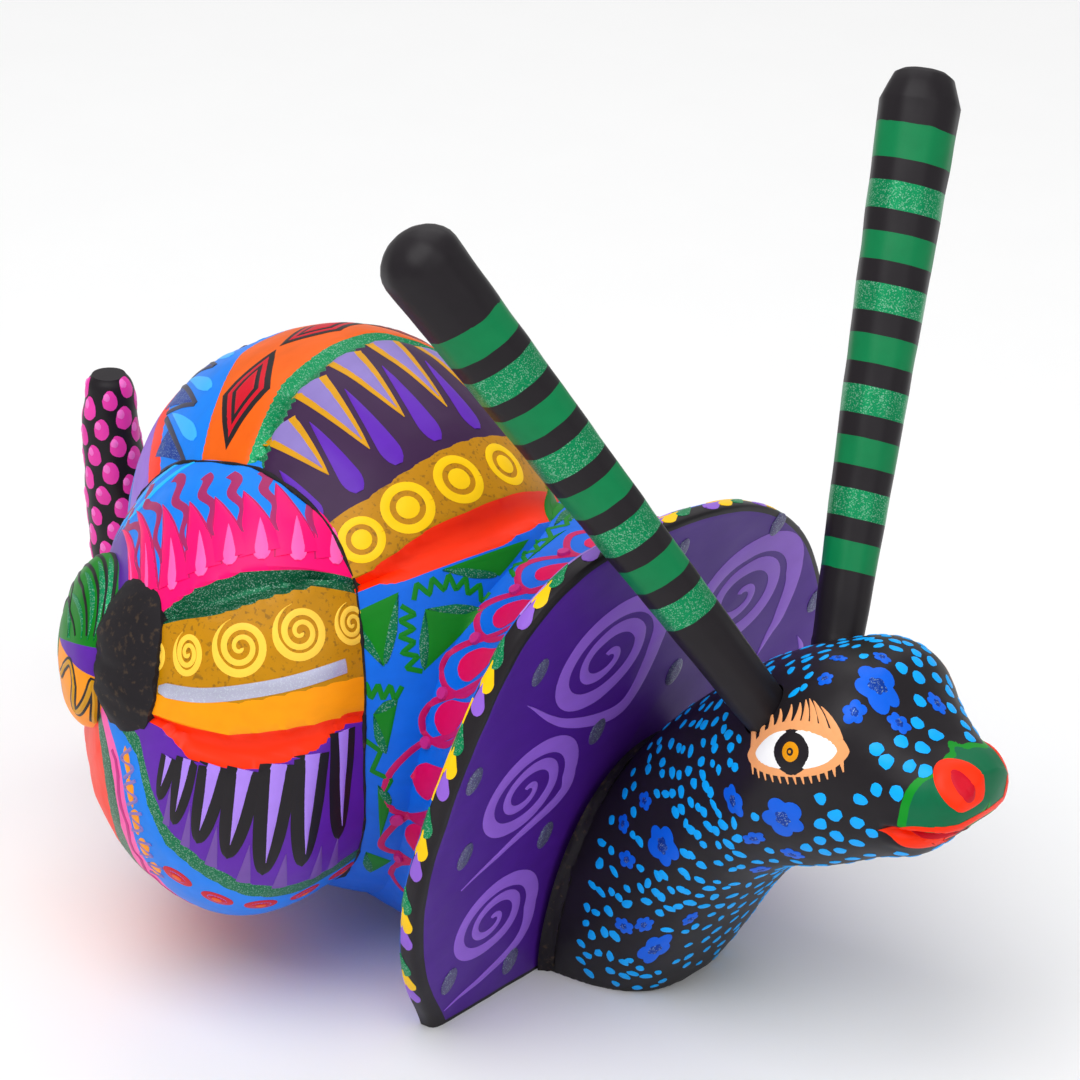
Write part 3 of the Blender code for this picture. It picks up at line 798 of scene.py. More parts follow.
def bun_at(turn, depth):
    """A point by the second whorl's surface."""
    return bun_place(np.array(float(turn)), np.array(float(depth)))[0]


def build_bun(rows=110, columns=240):
    """The second whorl with its carved grooves."""
    table = smooth_curve(BUN_PROFILE, rows)
    depth, turn = np.meshgrid(table[:, 0], np.linspace(BUN_SEAM, BUN_SEAM - 360, columns + 1), indexing="ij")
    place, outward = bun_place(turn, depth)
    field = band_field(BUN_SEAM - turn, depth, BUN_EDGES)
    taper = np.clip((depth - 3.0) / 5, 0, 1) * np.clip((33 - depth) / 5, 0.35, 1)
    rough = 0.15 * lumps(place, 6.0, 20.0) + 0.05 * lumps(place, 1.7, 20.0)
    place = place - outward * (groove_depth(field, BUN_GROOVES) * taper - rough)[..., None]
    return loft(place[:, :-1], BUN_FACE + unit(BUN_AXIS), place[-1, :-1].mean(axis=0), field)


PINK_TEETH = (                 # depth, turn of the root, turn of the point, half width
    (1.6, -36, 22, 1.7), (3.4, -39, 12, 2.2), (6.6, -40, -4, 2.9), (10.4, -38, -12, 3.2),
    (14.4, -36, -15, 3.4), (19.0, -35, -15.5, 3.6), (24.5, -35, -14, 3.6), (30.5, -34.5, -12, 3.4),
)
BLACK_TEETH = (                # depth and turn of the root, depth and turn of the point, half width
    (9.0, -92.0, 8.6, -105, 1.5), (11.5, -91.0, 11.3, -110, 1.9), (15.5, -90.5, 15.2, -112, 2.5),
    (20.0, -90, 20.0, -113, 2.8), (25.0, -88, 26.0, -117, 3.0), (30.0, -85.5, 32.0, -115, 2.9),
    (34.5, -80.5, 37.4, -109.5, 2.4),
)


def bun_local(canvas, turn, depth):
    """Flat millimetres round a place on the second whorl, with the depth first."""
    return canvas.local(bun_at(turn, depth), bun_at(turn, depth + 1) - bun_at(turn, depth))


def bun_top(canvas):
    """The purple round the apex, pink teeth with squiggles between them, and a light-blue leaf."""
    draw = random.Random(SEED + 1)
    axis = unit(BUN_AXIS)
    up, side = axis_frame(axis)
    angles = np.radians(np.arange(-62, 72, 4))
    arc = [BUN_FACE - axis * 0.6 + (up * math.cos(a) - side * math.sin(a)) * 18.0 for a in angles]
    canvas.stroke("purple", arc, 4.0 * np.clip(np.sin(np.linspace(0, math.pi, len(arc))) * 3, 0.1, 1))
    for depth, low, tip, half in PINK_TEETH:
        line = chart_line(bun_at, [(low - 1.5, depth + 0.3), (tip, depth * 0.88)], 22)
        canvas.stroke("raspberry", line, tooth_widths(22, half + 0.35))
        canvas.stroke("hot_pink", line[:21], tooth_widths(21, half), PAINT_LIFT * 1.5)
        drop = chart_line(bun_at, [(low + (tip - low) * 0.45, depth), (low - 3.5, depth + 0.2)], 16)
        canvas.stroke("pink", drop, drop_widths(16, 0.42 * half, 0.7), PAINT_LIFT * 2.1)
    steps = np.linspace(0, 1, 40)
    for place, (tooth, after) in enumerate(zip(PINK_TEETH, PINK_TEETH[1:])):
        across = (tooth[0] + after[0]) / 2
        high, low = tooth[2] + 11 - place * 0.8, -31.5
        wave = 0.75 * np.sin(steps * math.tau * 2.1 + draw.uniform(0, 1)) * (1 - 0.6 * steps)
        line = [bun_at(high + (low - high) * t, across * (0.9 + 0.1 * t) + w) for t, w in zip(steps, wave)]
        canvas.stroke("squiggle", line, 0.85 * (1 - 0.75 * steps) + 0.15)
    for leaf in (((26, 0.9), (14, 2.6), (10.5, 4.4), (9, 7.0), (6.5, 11.0)),
                 ((31, 0.9), (23, 3.0), (19, 5.4), (15, 8.6), (7.5, 12.5))):
        canvas.stroke("cyan", chart_line(bun_at, leaf, 40), drop_widths(40, 0.95, 0.4))
    return draw


def bun_side(canvas):
    """Yellow spirals over a silver line, and black teeth whose cores are lilac over pale wedges."""
    for depth, turn, radius in ((5.4, -64.4, 2.6), (9.6, -63.8, 3.6), (17.0, -61.6, 4.7), (25.8, -56.8, 4.6),
                                (34.0, -53.0, 3.4)):
        at = bun_local(canvas, turn, depth)
        squeeze = (0.72 if depth < 12 else 0.95, 1.0)
        widths = np.linspace(0.26, 0.15 * radius, 90) * np.clip(np.linspace(9, 0, 90), 0.05, 1)
        canvas.stroke("butter", [at(x, y) for x, y in spiral(radius, 2.6, 115, -1.0, squeeze, 0.05)], widths)
    silver = [(-75, 6.2), (-74.5, 12), (-72, 18.5), (-68.5, 26), (-63.8, 33.6)]
    canvas.stroke("silver", chart_line(bun_at, silver, 50), 1.15 * np.clip(np.linspace(0.5, 12, 50), 0, 1),
                  PAINT_LIFT * 1.4)
    for place, (depth, high, end, low, half) in enumerate(BLACK_TEETH):
        line = chart_line(bun_at, [(high + 1, depth), (low, end)], 24)
        canvas.stroke("black", line, half * np.sqrt(np.clip(1 - np.linspace(0, 1, 24) ** 2.2, 0, 1)))
        core = chart_line(bun_at, [(high + 1, depth), (low + 5, end)], 20)
        canvas.stroke("pale_lilac", core, tooth_widths(20, 0.5 * half), PAINT_LIFT * 1.7)
        foot = (end + BLACK_TEETH[min(place + 1, len(BLACK_TEETH) - 1)][2]) / 2 + 0.4
        bottom = BUN_SEAM - edge(BUN_EDGES, 11, foot)
        wedge = chart_line(bun_at, [(bottom, foot), (bottom + 14, foot - 0.5)], 16)
        canvas.stroke("dusk_lilac", wedge, tooth_widths(16, 0.42 * half))


def bun_bottom(canvas, draw):
    """Ringed eyes, ochre dabs with zigzags, and a wavy line under the side that shows."""
    for depth in (14.0, 20.6, 27.6, 34.6, 40.5):
        at = bun_local(canvas, -133.5 if depth > 16 else -132.0, depth)
        canvas.blob("crimson", at, ellipse(2.7, 1.9, 22), PAINT_LIFT, (0.35, 0.7))
        canvas.blob("azure", at, ellipse(2.2, 1.45, 20), PAINT_LIFT * 1.5, (0.5,))
        canvas.blob("crimson", at, ellipse(1.85, 1.2, 18), PAINT_LIFT * 2.0)
        canvas.blob("orange", at, ellipse(1.3, 0.9, 14), PAINT_LIFT * 2.5)
    zig = smooth_curve([(-2.6, 1.6), (-0.6, -1.4), (0.6, 1.5), (2.6, -1.3)], 20)
    for place, (depth, turn) in enumerate(((3.6, -102), (4.8, -112), (6.4, -122), (8.6, -131), (11.0, -139))):
        at = canvas.local(bun_at(turn, depth), bun_at(turn - 3, depth + 0.4) - bun_at(turn, depth))
        canvas.blob("marigold", at, ellipse(2.6, 1.1 + 0.1 * place, 12, 0.12, draw, 0.5), PAINT_LIFT, (0.5,))
        canvas.stroke("grey_lilac", [at(x, y) for x, y in zig], 0.28, PAINT_LIFT * 1.8)
    wave = [bun_at(BUN_SEAM - between(BUN_EDGES, 13, 14, depth, 0.5) + 2 * math.sin(k * 1.3), depth)
            for k, depth in enumerate(np.linspace(1.5, 30, 44))]
    canvas.stroke("magenta", wave, 0.45)


def bun_back(canvas):
    """Teeth and dots on the side away from the camera."""
    for depth in np.arange(8, 40, 6.0):
        canvas.stroke("yellow", chart_line(bun_at, [(97, depth), (84, depth + 1)], 14), tooth_widths(14, 2.2))
        canvas.blob("raspberry", bun_local(canvas, 118, depth), ellipse(2.2, 1.5, 16))
        canvas.blob("yellow", bun_local(canvas, -190, depth), ellipse(2.4, 1.6, 16))


def ornament_bun(canvas):
    """The ornaments of the second whorl, from the top down."""
    draw = bun_top(canvas)
    bun_side(canvas)
    bun_bottom(canvas, draw)
    bun_back(canvas)


# ---------------------------------------------------------------- shell: apex

def apex_ring(out, radius, rise, columns):
    """A circle round the shell's apex line."""
    axis = unit(BUN_AXIS)
    up, side = axis_frame(axis)
    turn = np.linspace(0, math.tau, columns, endpoint=False)
    middle = BUN_FACE + axis * out + up * rise
    return middle + radius * (up * np.cos(turn)[:, None] + side * np.sin(turn)[:, None])


APEX_BANDS = (("leaf_green", 0, 0), ("purple", 0, 0), ("marigold", 0, 0))
APEX_BAND_TURNS = (            # turn, band number there
    (0, 0.5), (185, 0.5), (193, 2.5), (268, 2.5), (272, 1.5), (288, 1.5), (292, 0.5), (360, 0.5),
)


def build_apex(columns=96):
    """The small last whorl, with rounded, knife-cut sides."""
    profile = smooth_curve(APEX_PROFILE, 26)
    rings = [apex_ring(out, radius, APEX_RISE, columns) for out, radius in profile]
    rings += [apex_ring(6.7, 3.6, APEX_RISE, columns), apex_ring(6.85, 1.2, APEX_RISE, columns)]
    rings = np.array(rings)
    middle = rings.mean(axis=1, keepdims=True)
    rings += unit(rings - middle) * (0.3 * lumps(rings, 4.0, 3.0) - 0.2)[..., None]
    field = np.interp(np.linspace(0, 360, columns + 1), *np.array(APEX_BAND_TURNS).T)
    field = np.tile(field, (len(rings), 1))
    start = BUN_FACE + unit(BUN_AXIS) * -6.2
    return loft(rings, start, rings[-1].mean(axis=0), field)


def ornament_apex(canvas):
    """Dark and bright lines round the apex whorl, and a zigzag on its orange part."""
    axis = unit(BUN_AXIS)
    up, side = axis_frame(axis)

    def on(turn, out):
        angle = math.radians(turn)
        radius = float(np.interp(out, *np.array(APEX_PROFILE).T))
        return (BUN_FACE + axis * out
                + up * (APEX_RISE + radius * math.cos(angle)) + side * radius * math.sin(angle))

    def wavy(index, out, turns):
        return [on(turn, out + 0.5 * math.sin(turn / 21 + index)) for turn in turns]

    for index, out in enumerate((0.4, 1.9, 3.2, 4.5, 5.7, 6.6)):
        canvas.stroke("black", wavy(index, out, np.linspace(298, 430, 50)), np.linspace(0.22, 0.42, 50))
        canvas.stroke("glitter_green", wavy(index, out + 0.75, np.linspace(295, 365, 40)),
                      drop_widths(40, 0.5, 0.4))
    zig = [on(*pair) for pair in curve_at(((216, 6.6), (266, 5.6), (222, 3.6), (266, 2.2), (226, 0.6)),
                                          np.linspace(0, 4, 60))]
    canvas.stroke("black", zig, 0.85)
    canvas.stroke("gold", zig, 0.42, PAINT_LIFT * 1.7)


# ---------------------------------------------------------------- shell: rim and front

def front_state(back):
    """How flared, leaning and lifted the front is at a distance behind its face."""
    if back <= RIM_THICKNESS:
        return 1.0, RIM_LEAN, 0.0
    step = (back - RIM_THICKNESS) / FLARE_LENGTH
    if step <= 1:
        eased = 1.0 + (0.92 * (1 - step) ** 2.2 - 1.0) * min(1.0, step / 0.1)
        return eased, RIM_LEAN * (1 - 0.2 * step), 0.0
    rest = (back - RIM_THICKNESS - FLARE_LENGTH) / (FRONT_LENGTH - FLARE_LENGTH)
    return -0.35 * rest, RIM_LEAN * 0.8 * (1 - rest), BELLY_LIFT * rest


def front_points(outline, lean, back, lift=0.0):
    """Flat (sideways, height) points stood up in a leaning plane behind the rim's face."""
    height = np.maximum(outline[:, 1], lift)
    return np.column_stack([height * math.sin(lean) - back, outline[:, 0], height * math.cos(lean)])


def front_ring(flare, lean, back, lift, columns, share=1.0):
    """One closed ring of the front, with its underside; share shrinks it towards the rim's middle."""
    outline = smooth_curve(RIM_OUTLINE * flare + THROAT_OUTLINE * (1 - flare), columns)
    steps = np.linspace(0, 1, columns // 7 + 1)[1:-1, None]
    outline = np.vstack([outline, outline[-1] + (outline[0] - outline[-1]) * steps])
    outline = RIM_MIDDLE + (outline - RIM_MIDDLE) * share
    return front_points(outline, lean, back, lift)


def front_at(station, back):
    """A point by the front's outside, from a place along the rim's outline and a distance behind its face."""
    flare, lean, lift = front_state(back)
    outline = curve_at(RIM_OUTLINE * flare + THROAT_OUTLINE * (1 - flare), station)
    return front_points(outline, lean, back, lift)[0]


def collar_at(sideways, height):
    """A point by the collar's face."""
    return front_points(np.array([[sideways, height]], float), RIM_LEAN, 0.0)[0]


RIM_EDGE = (                   # how flared the rounded edge of the rim is, at distances behind its face
    (0.93, 0.0), (0.965, 0.16), (0.99, 0.5), (1.0, 1.1), (1.0, 1.7), (1.0, 2.3), (1.0, 2.8),
    (0.985, RIM_THICKNESS),
)


def build_front(columns=240):
    """The flared rim with its hollowed face, and the throat that runs back into the whorl."""
    rings, arc = [], []
    for share in np.linspace(0.04, 1.0, 26)[:-1]:
        rings.append(front_ring(0.93, RIM_LEAN, COLLAR_DISH * (1 - share ** 2), 0.0, columns, share))
        arc.append(-40.0 * (1 - share))
    for flare, back in RIM_EDGE:
        rings.append(front_ring(flare, RIM_LEAN, back, 0.0, columns))
        arc.append(0.9 * (flare - 0.93) / 0.07 + back)
    flare_end, front_end = RIM_THICKNESS + FLARE_LENGTH, RIM_THICKNESS + FRONT_LENGTH
    for back in (*np.linspace(RIM_THICKNESS + 0.2, flare_end, 34),
                 *np.linspace(flare_end + 1.5, front_end, 14)):
        flare, lean, lift = front_state(back)
        rings.append(front_ring(flare, lean, back, lift, columns))
        arc.append(2.4 + back)
    rings = np.array(rings)
    outward = unit(rings - rings.mean(axis=1, keepdims=True))
    carved = 0.22 * lumps(rings, 8.0, 40.0) + 0.07 * lumps(rings, 2.0, 40.0)
    facing = np.array([min(1.0, max(0.0, place / 6.0)) for place in arc])[:, None]
    rings = rings + outward * (carved * facing)[..., None]
    rings[..., 0] -= np.abs(0.25 * lumps(rings, 9.0, 60.0)) * (1 - facing)
    rings[..., 2] = np.maximum(rings[..., 2], 0.0)
    edges = [((0, place), (1, place)) for place in (-60.0, -5.0, -0.7, 4.1, 8.0, 80.0)]
    place = np.repeat(np.array(arc)[:, None], rings.shape[1] + 1, axis=1)
    field = band_field(place, np.zeros(place.shape), edges)
    return loft(rings, rings[0].mean(axis=0), rings[-1].mean(axis=0), field)


FRONT_BANDS = (("violet", 0, 0), ("violet", 0, 0), ("black", 0, 0), ("blue", 0, 0), ("blue", 0, 0))
RIM_START, RIM_END = 0.35, 12.6


COLLAR_SPIRALS = (              # middle, radius, stretch, finishing angle, tail
    ((-16.1, 63.5), 10.4, (1.3, 1.0), -12, ((-7.5, 50.0), (-22.5, 53.5), (-35.6, 63.0))),
    ((-29.4, 43.0), 8.8, (1.3, 1.0), -10, ((-19.5, 37.0), (-30.0, 33.2), (-41.4, 29.1))),
    ((-30.4, 17.6), 7.9, (1.3, 1.0), -12, ((-21.5, 9.5), (-29.5, 5.6), (-38.6, 3.2))),
    ((17.8, 61.5), 11.0, (1.22, 1.0), 4, ((31.3, 53.0), (29.8, 49.0), (28.2, 45.0))),
    ((33.5, 33.5), 7.2, (1.15, 1.05), -8, ((41.0, 38.0), (40.5, 42.0), (38.4, 45.2))),
    ((32.0, 13.5), 6.6, (1.15, 1.0), 190, ((24.5, 19.0), (23.6, 24.0), (26.0, 28.5))),
)
COLLAR_DABS = (                # how far sideways and up each is
    (-34.5, 69.0), (-42.6, 36.6), (-39.0, 9.5), (-4.0, 79.5), (40.5, 52.0), (5.0, 51.5), (-13.0, 47.5),
    (-20.5, 30.0), (-22.8, 5.5), (23.5, 40.0), (43.0, 24.0), (23.5, 8.0), (22.0, 75.0), (-45.5, 53.0),
)


def ornament_collar(canvas):
    """Lilac spirals with long tails on the collar's face, and dark silver dabs along its margins."""
    for (sideways, height), radius, stretch, finish, tail in COLLAR_SPIRALS:
        curl = spiral(radius, 2.3, finish, -1.0, stretch, 0.06, 110)
        line = [collar_at(sideways + x, height + y) for x, y in curl]
        leave = [(sideways + x, height + y) for x, y in (curl[-9], curl[-1])]
        steps = np.linspace(1, len(tail) + 1, 46)[1:]
        line += [collar_at(*pair) for pair in curve_at([*leave, *tail], steps)]
        widths = np.concatenate([np.linspace(0.55, 1.75, 110),
                                 1.75 * (1 - np.linspace(0, 1, 46)[1:]) ** 0.75])
        canvas.stroke("lilac", line, widths * radius / 9.5)
    for sideways, height in COLLAR_DABS:
        at = canvas.local(collar_at(sideways, height), (0.3, 0.25, 1.0))
        canvas.blob("gunmetal", at, ellipse(2.5, 1.75, 20), PAINT_LIFT * 2.2, (0.4, 0.75))


def rim_length(samples=600):
    """Stations along the rim's outline and the length up to each."""
    stations = np.linspace(RIM_START, RIM_END, samples)
    points = np.array([front_at(station, 2.0) for station in stations])
    steps = np.linalg.norm(np.diff(points, axis=0), axis=1)
    return stations, np.concatenate([[0.0], np.cumsum(steps)])


def ornament_rim(canvas):
    """Repeating green, yellow and lilac drops along the rim's black edge, and a thin coloured line."""
    stations, lengths = rim_length()

    def station(length):
        return float(np.interp(length, lengths, stations))

    pitch = 15.2
    for index in range(int(lengths[-1] / pitch)):
        start = 3.0 + pitch * index
        for colour, shift, fat, slant in (("lilac", 0.0, 1.25, 0.4), ("yellow", 3.9, 1.35, 0.2),
                                          ("glitter_green", 8.0, 1.4, -0.3)):
            low, high = station(start + shift), station(start + shift + 5.4)
            line = [front_at(high + (low - high) * t, 3.0 - slant - 1.1 * t)
                    for t in np.linspace(0, 1, 18)]
            canvas.stroke(colour, line, drop_widths(18, fat, 0.66), PAINT_LIFT * 1.4)
    for colour, start, end in (("teardrop", 0.4, 0.9), ("yellow", 3.2, 4.3), ("teardrop", 5.2, 7.3),
                               ("yellow", 7.6, 9.2), ("teardrop", 9.5, 11.6)):
        line = [front_at(place, 3.35) for place in np.linspace(start, end, 60)]
        canvas.stroke(colour, line, 0.3)


FRONT_LOOPS = [                # two places along the rim, and how far back the loop reaches
    *((12.5 - 0.65 * k, 11.85 - 0.65 * k, 15.0) for k in range(11)),
    (5.38, 4.68, 15.3), (4.68, 4.1, 15.2), (4.1, 3.2, 18.6), (3.2, 2.6, 18.3), (2.6, 1.95, 17.4),
    (1.95, 1.35, 17.2), (1.35, 0.7, 16.5),
]
FRONT_TRIANGLES = (            # corners over the body whorl (turn, along), and the sides with a bright stroke
    (((-55.6, -5.1), (-55.4, -21.5), (-60.4, -14.0)), ((0, 2),)),
    (((-59.5, -24.0), (-64.5, -27.0), (-63.2, -17.5)), ()),
    (((-56.4, -28.0), (-58.6, -34.0), (-60.8, -28.0)), ((1, 2),)),
    (((-57.2, 10.6), (-56.6, 2.2), (-68.5, 8.3)), ((1, 2), (2, 0))),
    (((-61.1, -0.7), (-65.3, -9.6), (-71.6, 2.8)), ((0, 1), (0, 2))),
    (((-76.2, 12.1), (-75.1, 7.9), (-85.2, 12.0)), ((0, 1), (0, 2))),
    (((-91.5, 14.4), (-97.2, 13.2), (-107.0, 15.7)), ((0, 1),)),
    (((-112.0, 18.0), (-116.0, 14.5), (-122.0, 17.5)), ((0, 2),)),
)
FRONT_ZIGZAGS = (              # middle line over the body whorl (turn, along), number of points
    (((-57.6, 0.4), (-58.4, -6.4), (-63.6, -11.2)), 12), (((-59.6, 1.6), (-65.1, 3.6), (-71.4, 4.1)), 10),
    (((-62.2, -15.4), (-58.8, -20.1), (-57.4, -25.2), (-60.0, -31.0)), 11),
    (((-71.0, 12.9), (-74.1, 7.1)), 8), (((-80.0, 13.8), (-88.0, 13.6), (-94.0, 13.0)), 5),
)


def petal_loops(canvas):
    """Petals in scalloped loops beside the rim, with a raised dot where two loops meet."""
    for high, low, top in FRONT_LOOPS:
        middle, bend = (high + low) / 2, (high - low) * 0.06
        petal = [front_at(middle, back) for back in np.linspace(4.6, 8.4 + 0.28 * top, 18)]
        canvas.stroke("carmine", petal, drop_widths(18, 2.9, 0.62), PAINT_LIFT * 1.3)
        loop = [(high + bend, 5.5), (high + bend, 0.5 * top + 1.0), (high - 2 * bend, 0.86 * top),
                (middle, top), (low + 2 * bend, 0.86 * top), (low - bend, 0.5 * top + 1.0), (low - bend, 5.5)]
        line = [front_at(*pair) for pair in smooth_curve(loop, 60)]
        canvas.stroke("raspberry", line, 0.56, PAINT_LIFT * 1.2)
        point = front_at(low, 0.84 * top)
        at = canvas.local(point, front_at(low, 0.84 * top + 1) - point)
        canvas.blob("magenta", at, ellipse(1.15, 1.05, 16), 0.6, (0.35, 0.7, 0.9))


def green_triangles(canvas):
    """Green triangles with a bright stroke along some of their sides."""
    draw = random.Random(SEED + 2)
    shapes = [([dome_at(*corner) for corner in corners], strokes) for corners, strokes in FRONT_TRIANGLES]
    for index in range(11):    # the far side has them by rule
        station, back = 7.3 + 0.48 * index, 21.5 + 10.0 * (index % 2) + draw.uniform(-1, 1)
        corners = ((-0.3, -3.6), (0.31, -1.2), (-0.05, 4.0))
        shapes.append(([front_at(station + along, back + behind) for along, behind in corners],
                       ((0, 1), (1, 2))[:1 + index % 2]))
    for corners, strokes in shapes:
        at = canvas.local(np.mean(corners, axis=0), corners[1] - corners[0])
        origin, ahead, across = at(0, 0), at(1, 0) - at(0, 0), at(0, 1) - at(0, 0)
        flat = [np.array([(corner - origin) @ ahead, (corner - origin) @ across]) for corner in corners]
        canvas.blob("leaf_green", at, polygon(flat), PAINT_LIFT, (0.25, 0.5, 0.75))
        for first, second in strokes:
            reach = corners[second] - corners[first]
            side = [corners[first] + reach * t for t in np.linspace(0.04, 0.94, 20)]
            canvas.stroke("strap_green", side, drop_widths(20, 0.85, 0.5), PAINT_LIFT * 1.8)


def green_zigzags(canvas):
    """Thin zigzags between the triangles."""
    lines = [[dome_at(*pair) for pair in smooth_curve(middle, count)] for middle, count in FRONT_ZIGZAGS]
    for index in range(10):    # the far side has them by rule
        station, back = 7.55 + 0.48 * index, 17.0 + 11.0 * (index % 2)
        lines.append([front_at(station + 0.03 * k, back + 1.5 * k) for k in range(8)])
    for spine in lines:
        ahead = unit(np.gradient(spine, axis=0))
        points = []
        for index, place in enumerate(spine):
            _, normal = canvas.touch(place)
            points.append(place + np.cross(normal, ahead[index]) * (1.15 if index % 2 else -1.15))
        last = len(points) - 1
        line = [(1 - t % 1) * points[int(t)] + (t % 1) * points[min(int(t) + 1, last)]
                for t in np.linspace(0, last, 7 * len(points))]
        canvas.stroke("leaf_green", line, 0.42, PAINT_LIFT)


# ---------------------------------------------------------------- fillers

def loop_tube(centres, normals, binormals, radii, sides=9):
    """A closed tube round a closed loop."""
    count = len(centres)
    points = np.array([centres[k] + (normals[k] * math.cos(angle) + binormals[k] * math.sin(angle)) * radii[k]
                       for k in range(count) for angle in np.linspace(0, math.tau, sides, endpoint=False)])
    faces = []
    for k in range(count):
        here, there = k * sides, (k + 1) % count * sides
        for side in range(sides):
            after = (side + 1) % sides
            faces.append((here + side, there + side, there + after, here + after))
    if signed_volume(points, faces) < 0:
        faces = [tuple(reversed(face)) for face in faces]
    return points, faces, None


def whorl_seam(dome_canvas):
    """The rough filler along the line where the second whorl meets the body whorl."""
    turns = np.linspace(0, 360, 241)[:-1]
    depths = np.linspace(2, 45.5, 120)
    grid, _ = bun_place(*np.meshgrid(turns, depths, indexing="ij"))
    centres = []
    for row in grid:
        inside = len(depths) - 1
        for index, point in enumerate(row):
            place, normal = dome_canvas.touch(point)
            if np.dot(point - place, normal) < 0.3:
                inside = index
                break
        centres.append(row[inside])
    centres = np.array(centres)
    for _ in range(4):
        centres = (np.roll(centres, 1, 0) + 2 * centres + np.roll(centres, -1, 0)) / 4
    ahead = unit(np.roll(centres, -1, 0) - np.roll(centres, 1, 0))
    normals = unit(np.cross(ahead, unit(BUN_AXIS)))
    radii = 0.3 + 0.4 * lumps(centres, 5.2, 70.0) + 0.15 * lumps(centres, 1.1, 70.0)
    return loop_tube(centres, normals, np.cross(ahead, normals), np.maximum(radii, 0.2))


APEX_HEAP = (                  # distance out and radius on the plain side, and on the heaped side
    (-8.0, 20.5, -8.0, 25.5), (-3.4, 19.0, -5.4, 27.4), (-1.8, 17.4, -2.2, 25.0), (-1.6, 16.4, 0.2, 21.4),
    (-1.6, 15.6, 1.7, 18.4), (-1.7, 14.8, 2.6, 15.6), (-1.9, 13.6, 2.3, 13.2),
)
HEAP_TURN = 68.0              # where the heap's middle is, and how wide it is
HEAP_WIDTH = 37.0
FILLET_END = 0.24             # how far along the neck the fillet reaches


def build_apex_filler(columns=180):
    """The rough filler that packs the apex whorl into the second whorl, heaped on its rear side."""
    axis = unit(BUN_AXIS)
    up, side = axis_frame(axis)
    turn = np.linspace(0, math.tau, columns, endpoint=False)
    heap = np.exp(-((np.degrees(turn) - HEAP_TURN) / HEAP_WIDTH) ** 4)
    rings = []
    for out, radius, heaped_out, heaped_radius in APEX_HEAP:
        reach = radius + (heaped_radius - radius) * heap
        level = out + (heaped_out - out) * heap
        ring = (BUN_FACE + axis * level[:, None] + up * (APEX_RISE - 1.0)
                + (up * np.cos(turn)[:, None] - side * np.sin(turn)[:, None]) * reach[:, None])
        rough = (0.6 * lumps(ring, 2.6, 80.0) + 0.3 * lumps(ring, 0.9, 80.0)) * heap
        rings.append(ring + axis * rough[:, None])
    return loft(rings, rings[0].mean(axis=0), BUN_FACE + axis * -2.0 + up * APEX_RISE)


def build_neck_filler(columns=150):
    """The rough fillet of filler round the neck's root."""
    rings = []
    for place in np.linspace(0.0, FILLET_END, 12):
        grow = 1.3 * (1 - place / FILLET_END) ** 1.2 + 0.12
        ring = neck_ring(place, columns, grow)
        outward = unit(ring - ring.mean(axis=0))
        rough = 0.65 * lumps(ring, 3.0, 90.0) + 0.4 * lumps(ring, 1.0, 90.0)
        ring = ring + outward * (rough * min(1.0, place / 0.08))[:, None]
        ring[:, 2] = np.maximum(ring[:, 2], 0.0)
        rings.append(ring)
    return loft(rings, rings[0].mean(axis=0), rings[-1].mean(axis=0))


# ---------------------------------------------------------------- neck and head

MOUTH_CORNER = 67.6           # how far forward the mouth's corner is
MOUTH_HEIGHT = 49.6
SLIT_DEPTH = 2.2              # how deep the mouth's line is cut, and how far the lips stand up beside it
LIP_RISE = 0.35
JAW_SHORTENING = 0.22         # how far the jaw falls short of the snout, for each millimetre forward
DENT_DEPTH = 0.9              # how deep a nostril is pressed, and how high its edge stands
DENT_EDGE = 0.3
MUZZLE_EDGE = (                # where the muzzle's paint starts over half of the head: turn, place
    (0, 7.1), (3, 7.18), (7, 7.38), (14, 7.4), (22, 7.46), (30, 7.54), (37, 7.52), (43, 7.32), (50, 7.16),
    (62, 7.05), (76, 7.0), (92, 6.98), (104, 7.0), (120, 7.0), (150, 7.05), (180, 7.1),
)
HEAD_BANDS = (("black", 0, 0), ("muzzle_edge", 0, 0), ("muzzle_green", 0, 0))


def muzzle_border(turn):
    """Where the muzzle's paint starts, at a turn in degrees."""
    table = smooth_curve(MUZZLE_EDGE, 240)
    return np.interp(np.abs(turn), table[:, 0], table[:, 1])


def neck_ring(place, columns, grow=0.0):
    """A section of the neck and head at a place along its stations."""
    tx, tz, bx, bz, half, middle = curve_at(NECK_STATIONS, place)[0]
    turn = np.linspace(-math.pi, math.pi, columns, endpoint=False)
    top, bottom = np.array([tx, 0, tz + grow]), np.array([bx, 0, bz])
    ring = (top + bottom) / 2 + (top - bottom) / 2 * power(np.cos(turn), NECK_ROUNDNESS)[:, None]
    ring[:, 1] = middle + (half + grow) * power(np.sin(turn), NECK_ROUNDNESS)
    return ring


def head_at(place, turn):
    """A point by the neck and head, from a place along the stations and a turn in degrees from the top."""
    tx, tz, bx, bz, half, middle = curve_at(NECK_STATIONS, place)[0]
    angle = math.radians(turn)
    share = float(power(math.cos(angle), NECK_ROUNDNESS))
    sideways = middle + half * float(power(math.sin(angle), NECK_ROUNDNESS))
    return np.array([(tx + bx) / 2 + (tx - bx) / 2 * share, sideways, (tz + bz) / 2 + (tz - bz) / 2 * share])


NOSTRILS = {                   # -1 is the snail's right one, 1 its left, which sits further back
    -1: np.array([78.4, -9.2, 57.0]), 1: np.array([76.6, 3.4, 54.6]),
}


